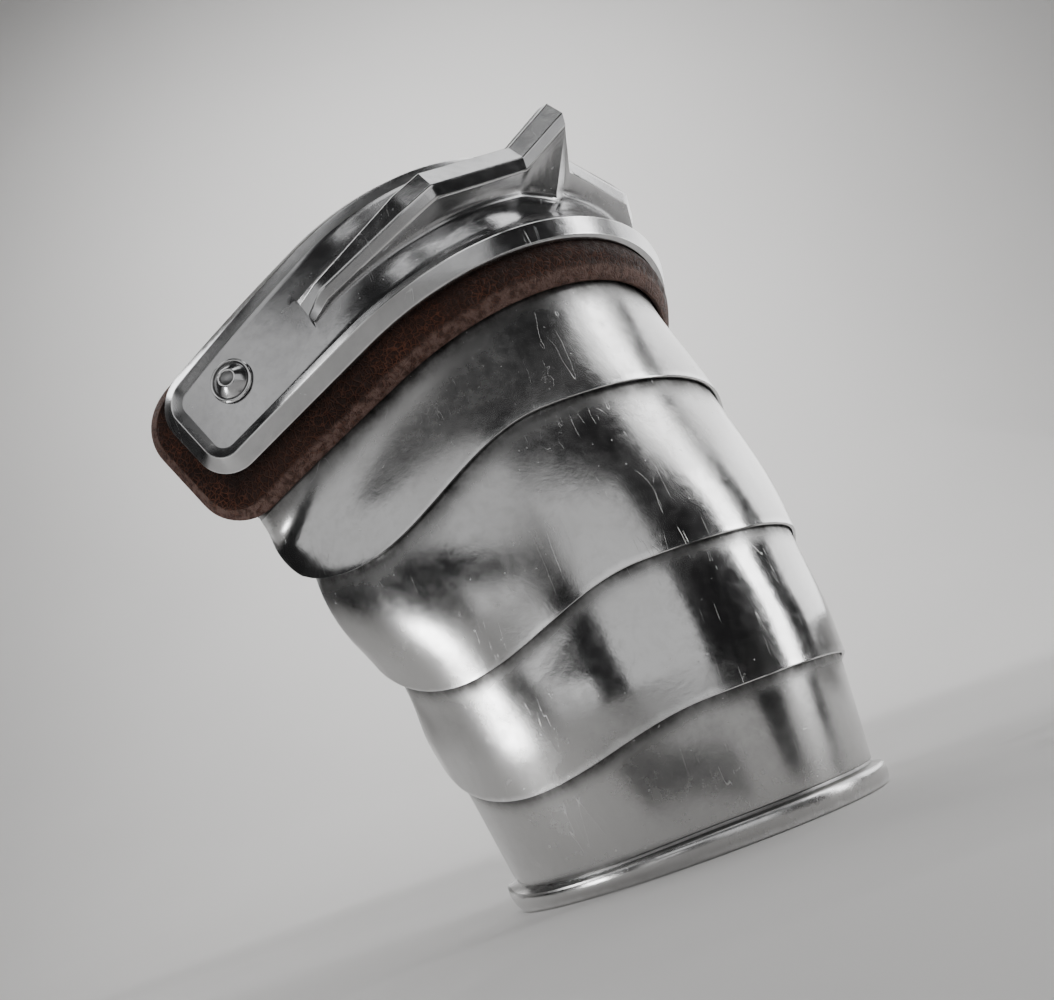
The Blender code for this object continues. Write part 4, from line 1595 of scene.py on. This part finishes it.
@dataclass(frozen=True)
class CrackledLeather:
    """Dark brown leather with a crackled surface and a rubbed, paler edge."""

    name: str = "crackled_leather"
    slot: Slot = Slot.LEATHER
    dark: tuple[float, float, float] = (0.0125, 0.0062, 0.0048)
    brown: tuple[float, float, float] = (0.034, 0.0170, 0.0130)
    crackle: tuple[float, float, float] = (0.130, 0.048, 0.028)
    edge: tuple[float, float, float] = (0.175, 0.110, 0.092)
    cell_scale: float = 430.0
    hair_scale: float = 2.4
    hair_share: float = 0.45
    smudge_scale: float = 24.0
    contrast: float = 0.9
    breakup: float = 0.5
    # Strength of the painted shade below the band and on the back.
    grime: float = 0.9
    gloss: float = 0.18

    def make(self, effects: Effects) -> bpy.types.Material:
        """Build the material.

        Args:
            effects: The shared node groups.

        Returns:
            The material.
        """
        material, shader, graph = new_material(self.name)
        place = graph.place()
        drifted = graph.drifted(place, scale=190.0, detail=2.0, reach=0.0045)
        cells = graph.cells(drifted, self.cell_scale)
        gaps = graph.cells(drifted, self.hair_scale * self.cell_scale)
        smudge = graph.group(effects.smudges, scale=self.smudge_scale, contrast=self.contrast)
        edges = graph.group(effects.edge_wear, breakup=self.breakup, grime=self.grime)
        fine = smudge.outputs["Fine"]
        hairs = graph.math("MULTIPLY", graph.span(gaps, low=0.10, high=0.0), self.hair_share)
        network = graph.math("MAXIMUM", graph.span(cells, low=0.10, high=0.0), hairs)
        shown = graph.span(graph.noise(place, 60.0, detail=5.0, rough=0.65), low=0.36, high=0.66, start=0.40)
        network = graph.math("MULTIPLY", network, shown)
        uneven = graph.span(fine, low=0.38, high=0.62, start=0.25)
        rubbed = graph.math("MULTIPLY", edges.outputs["Rubbed"], uneven)
        colour = graph.blend(smudge.outputs["Patches"], self.dark, self.brown)
        colour = graph.blend(network, colour, self.crackle)
        colour = graph.blend(rubbed, colour, self.edge)
        # Painted shade: the darkest brown where the shade mask is.
        colour = graph.blend(edges.outputs["Grime"], colour, self.dark)
        height = graph.span(cells, low=0.0, high=0.16)
        for part, gain in ((graph.span(gaps, low=0.0, high=0.2), 0.3), (fine, 0.6)):
            height = graph.math("ADD", height, graph.math("MULTIPLY", part, gain))
        graph.feed(shader.inputs["Base Color"], colour)
        graph.feed(shader.inputs["Roughness"], graph.span(fine, low=0.3, high=0.7, start=0.46, end=0.78))
        graph.feed(shader.inputs["Normal"], graph.bump(height, strength=0.75, distance=0.00035))
        shader.inputs["Specular IOR Level"].default_value = self.gloss
        return material


@dataclass(frozen=True)
class MattPaint:
    """Matt paint of the floor, the wall behind and the cards."""

    name: str
    colour: tuple[float, float, float]
    roughness: float = 0.75
    cloud_share: float = 0.97

    def make(self) -> bpy.types.Material:
        """Build the material.

        Returns:
            The material.
        """
        material, shader, graph = new_material(self.name)
        cloud = graph.span(graph.noise(graph.place(), 3.0, detail=3.0), low=0.3, high=0.7)
        deep = tuple(self.cloud_share * part for part in self.colour)
        graph.feed(shader.inputs["Base Color"], graph.blend(cloud, self.colour, deep))
        shader.inputs["Roughness"].default_value = self.roughness
        return material


@dataclass
class Armour:
    """The whole shoulder armour, dressed."""

    form: ArmForm
    effects: Effects
    body: str = "root"
    rivet_run: float = 0.1562
    finishes: tuple[WornSteel | CrackledLeather, ...] = (
        WornSteel(Slot.LAME, (0.64, 0.64, 0.64), (0.54, 0.535, 0.53)),
        WornSteel(Slot.BAND, (0.62, 0.62, 0.625), (0.46, 0.46, 0.465), rough=0.26, waviness=0.10),
        WornSteel(Slot.RIVET, (0.60, 0.60, 0.61), (0.40, 0.40, 0.40), polished=0.12, waviness=0.05),
        CrackledLeather(),
    )
    materials: dict[Slot, bpy.types.Material] = field(default_factory=dict)

    def dress(self, piece: bpy.types.Object, node: str, slot: Slot) -> None:
        """Dress a piece and let it stand for its node.

        Args:
            piece: The piece.
            node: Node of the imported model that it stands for.
            slot: Its material slot.
        """
        piece.data.materials.append(self.materials[slot])
        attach(piece, self.body)
        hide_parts(node)
        log.info("%s: %d faces", piece.name, len(piece.data.polygons))

    def build(self) -> None:
        """Build every piece."""
        for finish in self.finishes:
            self.materials[finish.slot] = finish.make(self.effects)
        lames = (
            CuffLame(self.form, "lame_4_cuff", 0),
            Lame(self.form, "lame_3", 1),
            # Wider painted shadows under the hem of lame 1 and under the leather.
            Lame(self.form, "lame_2", 2, soot_width=0.0066),
            Lame(self.form, "lame_1", 3, soot_width=0.0085),
        )
        for lame in lames:
            self.dress(lame.build(), lame.node, Slot.LAME)
        pad = LeatherCollar(self.form).build()
        self.dress(pad, "leather_collar", Slot.LEATHER)
        band = ShoulderBand(self.form, Crest(self.form)).build()
        self.dress(band, "shoulder_band", Slot.BAND)
        for node, run in (("rivet_front", self.rivet_run), ("rivet_back", -self.rivet_run)):
            self.dress(Rivet(self.form, node, run).build(), node, Slot.RIVET)


def direction(azimuth: float, elevation: float) -> Vector:
    """Give the way toward a place in the studio.

    Args:
        azimuth: Degrees from the front toward the outer side.
        elevation: Degrees above the floor.

    Returns:
        The unit vector.
    """
    turn = math.radians(azimuth)
    rise = math.radians(elevation)
    return Vector((math.sin(turn) * math.cos(rise), -math.cos(turn) * math.cos(rise), math.sin(rise)))


@dataclass(frozen=True)
class Softbox:
    """A rectangular studio light, placed and sized by angles in degrees as seen from the armour."""

    name: str
    azimuth: float
    elevation: float
    distance: float
    width: float
    height: float
    brightness: float
    spread: float = 180.0
    toward: tuple[float, float, float] = (0.0, 0.0, 0.13)
    centre: tuple[float, float, float] = (0.0, 0.0, 0.13)

    def build(self) -> None:
        """Place the light."""
        light = bpy.data.lights.new(self.name, "AREA")
        light.shape = "RECTANGLE"
        light.size = 2.0 * self.distance * math.tan(math.radians(0.5 * self.width))
        light.size_y = 2.0 * self.distance * math.tan(math.radians(0.5 * self.height))
        light.energy = math.pi * light.size * light.size_y * self.brightness
        light.spread = math.radians(self.spread)
        lamp = bpy.data.objects.new(self.name, light)
        lamp.visible_camera = False
        bpy.context.scene.collection.objects.link(lamp)
        lamp.location = Vector(self.centre) + self.distance * direction(self.azimuth, self.elevation)
        lamp.rotation_euler = (lamp.location - Vector(self.toward)).to_track_quat("Z", "Y").to_euler()


@dataclass(frozen=True)
class Flag:
    """A black card beside the picture, flat on the floor and bent up at its far end, for dark reflections."""

    name: str
    start: float
    end: float
    near: float = 0.085
    far: float = 0.52
    height: float = 0.12
    centre: tuple[float, float] = (0.066, -0.020)
    floor_gap: float = 0.001
    steps: int = 8
    crease: float = 60.0

    def build(self, material: bpy.types.Material) -> bpy.types.Object:
        """Lay the card between two azimuths.

        Args:
            material: Its material.

        Returns:
            The card.
        """
        made = SurfaceMesh()
        profile = [(self.near, self.floor_gap), (self.far, self.floor_gap)]
        if self.height > 0.0:
            profile.append((self.far, self.height))
        index = np.zeros((self.steps + 1, len(profile)), int)
        for step, row in np.ndindex(index.shape):
            azimuth = math.radians(self.start + (self.end - self.start) * step / self.steps)
            reach, height = profile[row]
            flat = (self.centre[0] + reach * math.sin(azimuth), self.centre[1] - reach * math.cos(azimuth))
            index[step, row] = made.add(np.array([*flat, height]))
        made.fill(index, False)
        card = made.make(self.name, self.crease)
        card.data.materials.append(material)
        card.visible_camera = False
        card.visible_diffuse = False
        card.visible_shadow = False
        return card


@dataclass
class Studio:
    """The pale floor and wall, the lights and the camera."""

    form: ArmForm
    target: tuple[float, float, float] = (-0.02639, 0.0, 0.15505)
    azimuth: float = 42.59
    elevation: float = -10.65
    distance: float = 0.61362
    roll: float = 19.91
    lens: float = 50.0
    sensor: float = 36.0
    clip_start: float = 0.01
    flat_reaches: tuple[float, ...] = (-3.0, -1.0, 0.0, 0.9)
    bend_radius: float = 0.9
    bend_steps: int = 16
    wall_height: float = 3.2
    half_width: float = 3.5
    crease: float = 60.0
    floor_paint: MattPaint = MattPaint("pale_floor", (0.74, 0.73, 0.72))
    card_paint: MattPaint = MattPaint("black_card", (0.012, 0.012, 0.012))
    room_grey: tuple[float, float, float] = (0.30, 0.30, 0.31)
    room_strengths: tuple[float, float] = (0.05, 1.6)
    # Name, azimuth, elevation, distance, width, height and brightness, then spread, aim and centre.
    lights: tuple[Softbox, ...] = (
        Softbox("key", -78.0, 47.0, 1.18, 22.0, 22.0, 5.0),
        Softbox(
            "low_left", -20.0, -10.0, 0.42, 16.0, 12.0, 4.8, 90.0, (-0.05, -0.10, 0.05), (-0.05, -0.09, 0.10)
        ),
        Softbox("low_front", 17.0, 2.0, 2.0, 26.0, 8.0, 1.1),
        Softbox("rim_strip", 133.5, 13.0, 1.5, 12.0, 56.0, 2.8, 120.0),
        Softbox("back_right", 180.0, 16.0, 1.6, 46.0, 30.0, 0.85, 110.0),
        Softbox("high_right", 140.0, 41.0, 1.7, 36.0, 14.0, 2.0),
        Softbox("front_left", -4.0, 32.0, 2.0, 80.0, 28.0, 0.66),
        Softbox("front_right", 65.0, 15.0, 2.0, 40.0, 34.0, 0.74),
        Softbox("crest_light", 165.0, 62.0, 1.7, 30.0, 18.0, 1.6),
        Softbox("overhead", 85.0, 69.0, 1.6, 22.0, 12.0, 2.0),
        Softbox("spike_light", 29.0, 66.0, 1.7, 11.0, 5.0, 1.5),
        Softbox("high_left", -95.0, 67.0, 1.8, 44.0, 14.0, 2.2),
        Softbox("wall", 222.0, 55.0, 1.4, 40.0, 24.0, 6.2, 130.0, (-1.20, 1.34, 0.60)),
    )
    # Name, first and last azimuth, then near and far edge, height and centre.
    flags: tuple[Flag, ...] = (
        Flag("flag_right", 102.0, 122.0),
        Flag("flag_back", 143.0, 153.0),
        Flag("flag_front", 8.0, 84.0, 0.075, 0.21, 0.0, (0.055, -0.045)),
    )

    def build_floor(self) -> None:
        """Build the floor and the wall as one curved sweep."""
        away = np.array(direction(self.azimuth + 180.0, 0.0))
        side = np.array([away[1], -away[0], 0.0])
        start = self.flat_reaches[-1]
        profile = [(reach, 0.0) for reach in self.flat_reaches]
        for step in range(1, self.bend_steps + 1):
            angle = 0.5 * math.pi * step / self.bend_steps
            rise = self.bend_radius - self.bend_radius * math.cos(angle)
            profile.append((start + self.bend_radius * math.sin(angle), rise))
        profile.append((start + self.bend_radius, self.wall_height))
        made = SurfaceMesh()
        for reach, height in profile:
            for along in (-self.half_width, self.half_width):
                made.add(reach * away + along * side + np.array([0.0, 0.0, height]))
        made.fill(np.arange(2 * len(profile)).reshape(-1, 2), True)
        floor = made.make("studio_sweep", self.crease)
        floor.data.materials.append(self.floor_paint.make())

    def build_flags(self) -> None:
        """Stand the black cards beside the picture."""
        black = self.card_paint.make()
        for flag in self.flags:
            flag.build(black)

    def build_lights(self) -> None:
        """Place the softboxes and the grey room, which is pale to look at and lights the armour faintly."""
        for box in self.lights:
            box.build()
        world = bpy.data.worlds.new("soft_grey")
        bpy.context.scene.world = world
        world.use_nodes = True
        graph = NodeGraph(world.node_tree)
        room = world.node_tree.nodes["Background"]
        room.inputs["Color"].default_value = (*self.room_grey, 1.0)
        lit, seen = self.room_strengths
        directly = graph.node("ShaderNodeLightPath").outputs["Is Camera Ray"]
        strength = graph.span(directly, low=0.0, high=1.0, start=lit, end=seen)
        graph.feed(room.inputs["Strength"], strength)

    def place_camera(self) -> None:
        """Place the camera at the photograph's angle."""
        back = direction(self.azimuth, self.elevation)
        level = direction(self.azimuth + 90.0, 0.0)
        rise = back.cross(level)
        roll = math.radians(self.roll)
        right = math.cos(roll) * level - math.sin(roll) * rise
        above = math.sin(roll) * level + math.cos(roll) * rise
        target = Vector(self.target) + Vector((self.form.stand_shift, 0.0, 0.0))
        data = bpy.data.cameras.new("camera")
        data.lens = self.lens
        data.sensor_width = self.sensor
        data.sensor_fit = "HORIZONTAL"
        data.clip_start = self.clip_start
        camera = bpy.data.objects.new("camera", data)
        bpy.context.scene.collection.objects.link(camera)
        turn = Matrix((right, above, back)).transposed().to_4x4()
        camera.matrix_world = Matrix.Translation(target + self.distance * back) @ turn
        bpy.context.scene.camera = camera


def main() -> None:
    """Build the armour and the studio."""
    logging.basicConfig(level=logging.INFO, format="%(name)s: %(message)s")
    form = ArmForm()
    Armour(form, Effects()).build()
    studio = Studio(form)
    studio.build_floor()
    studio.build_flags()
    studio.build_lights()
    studio.place_camera()


if __name__ == "__main__":
    main()
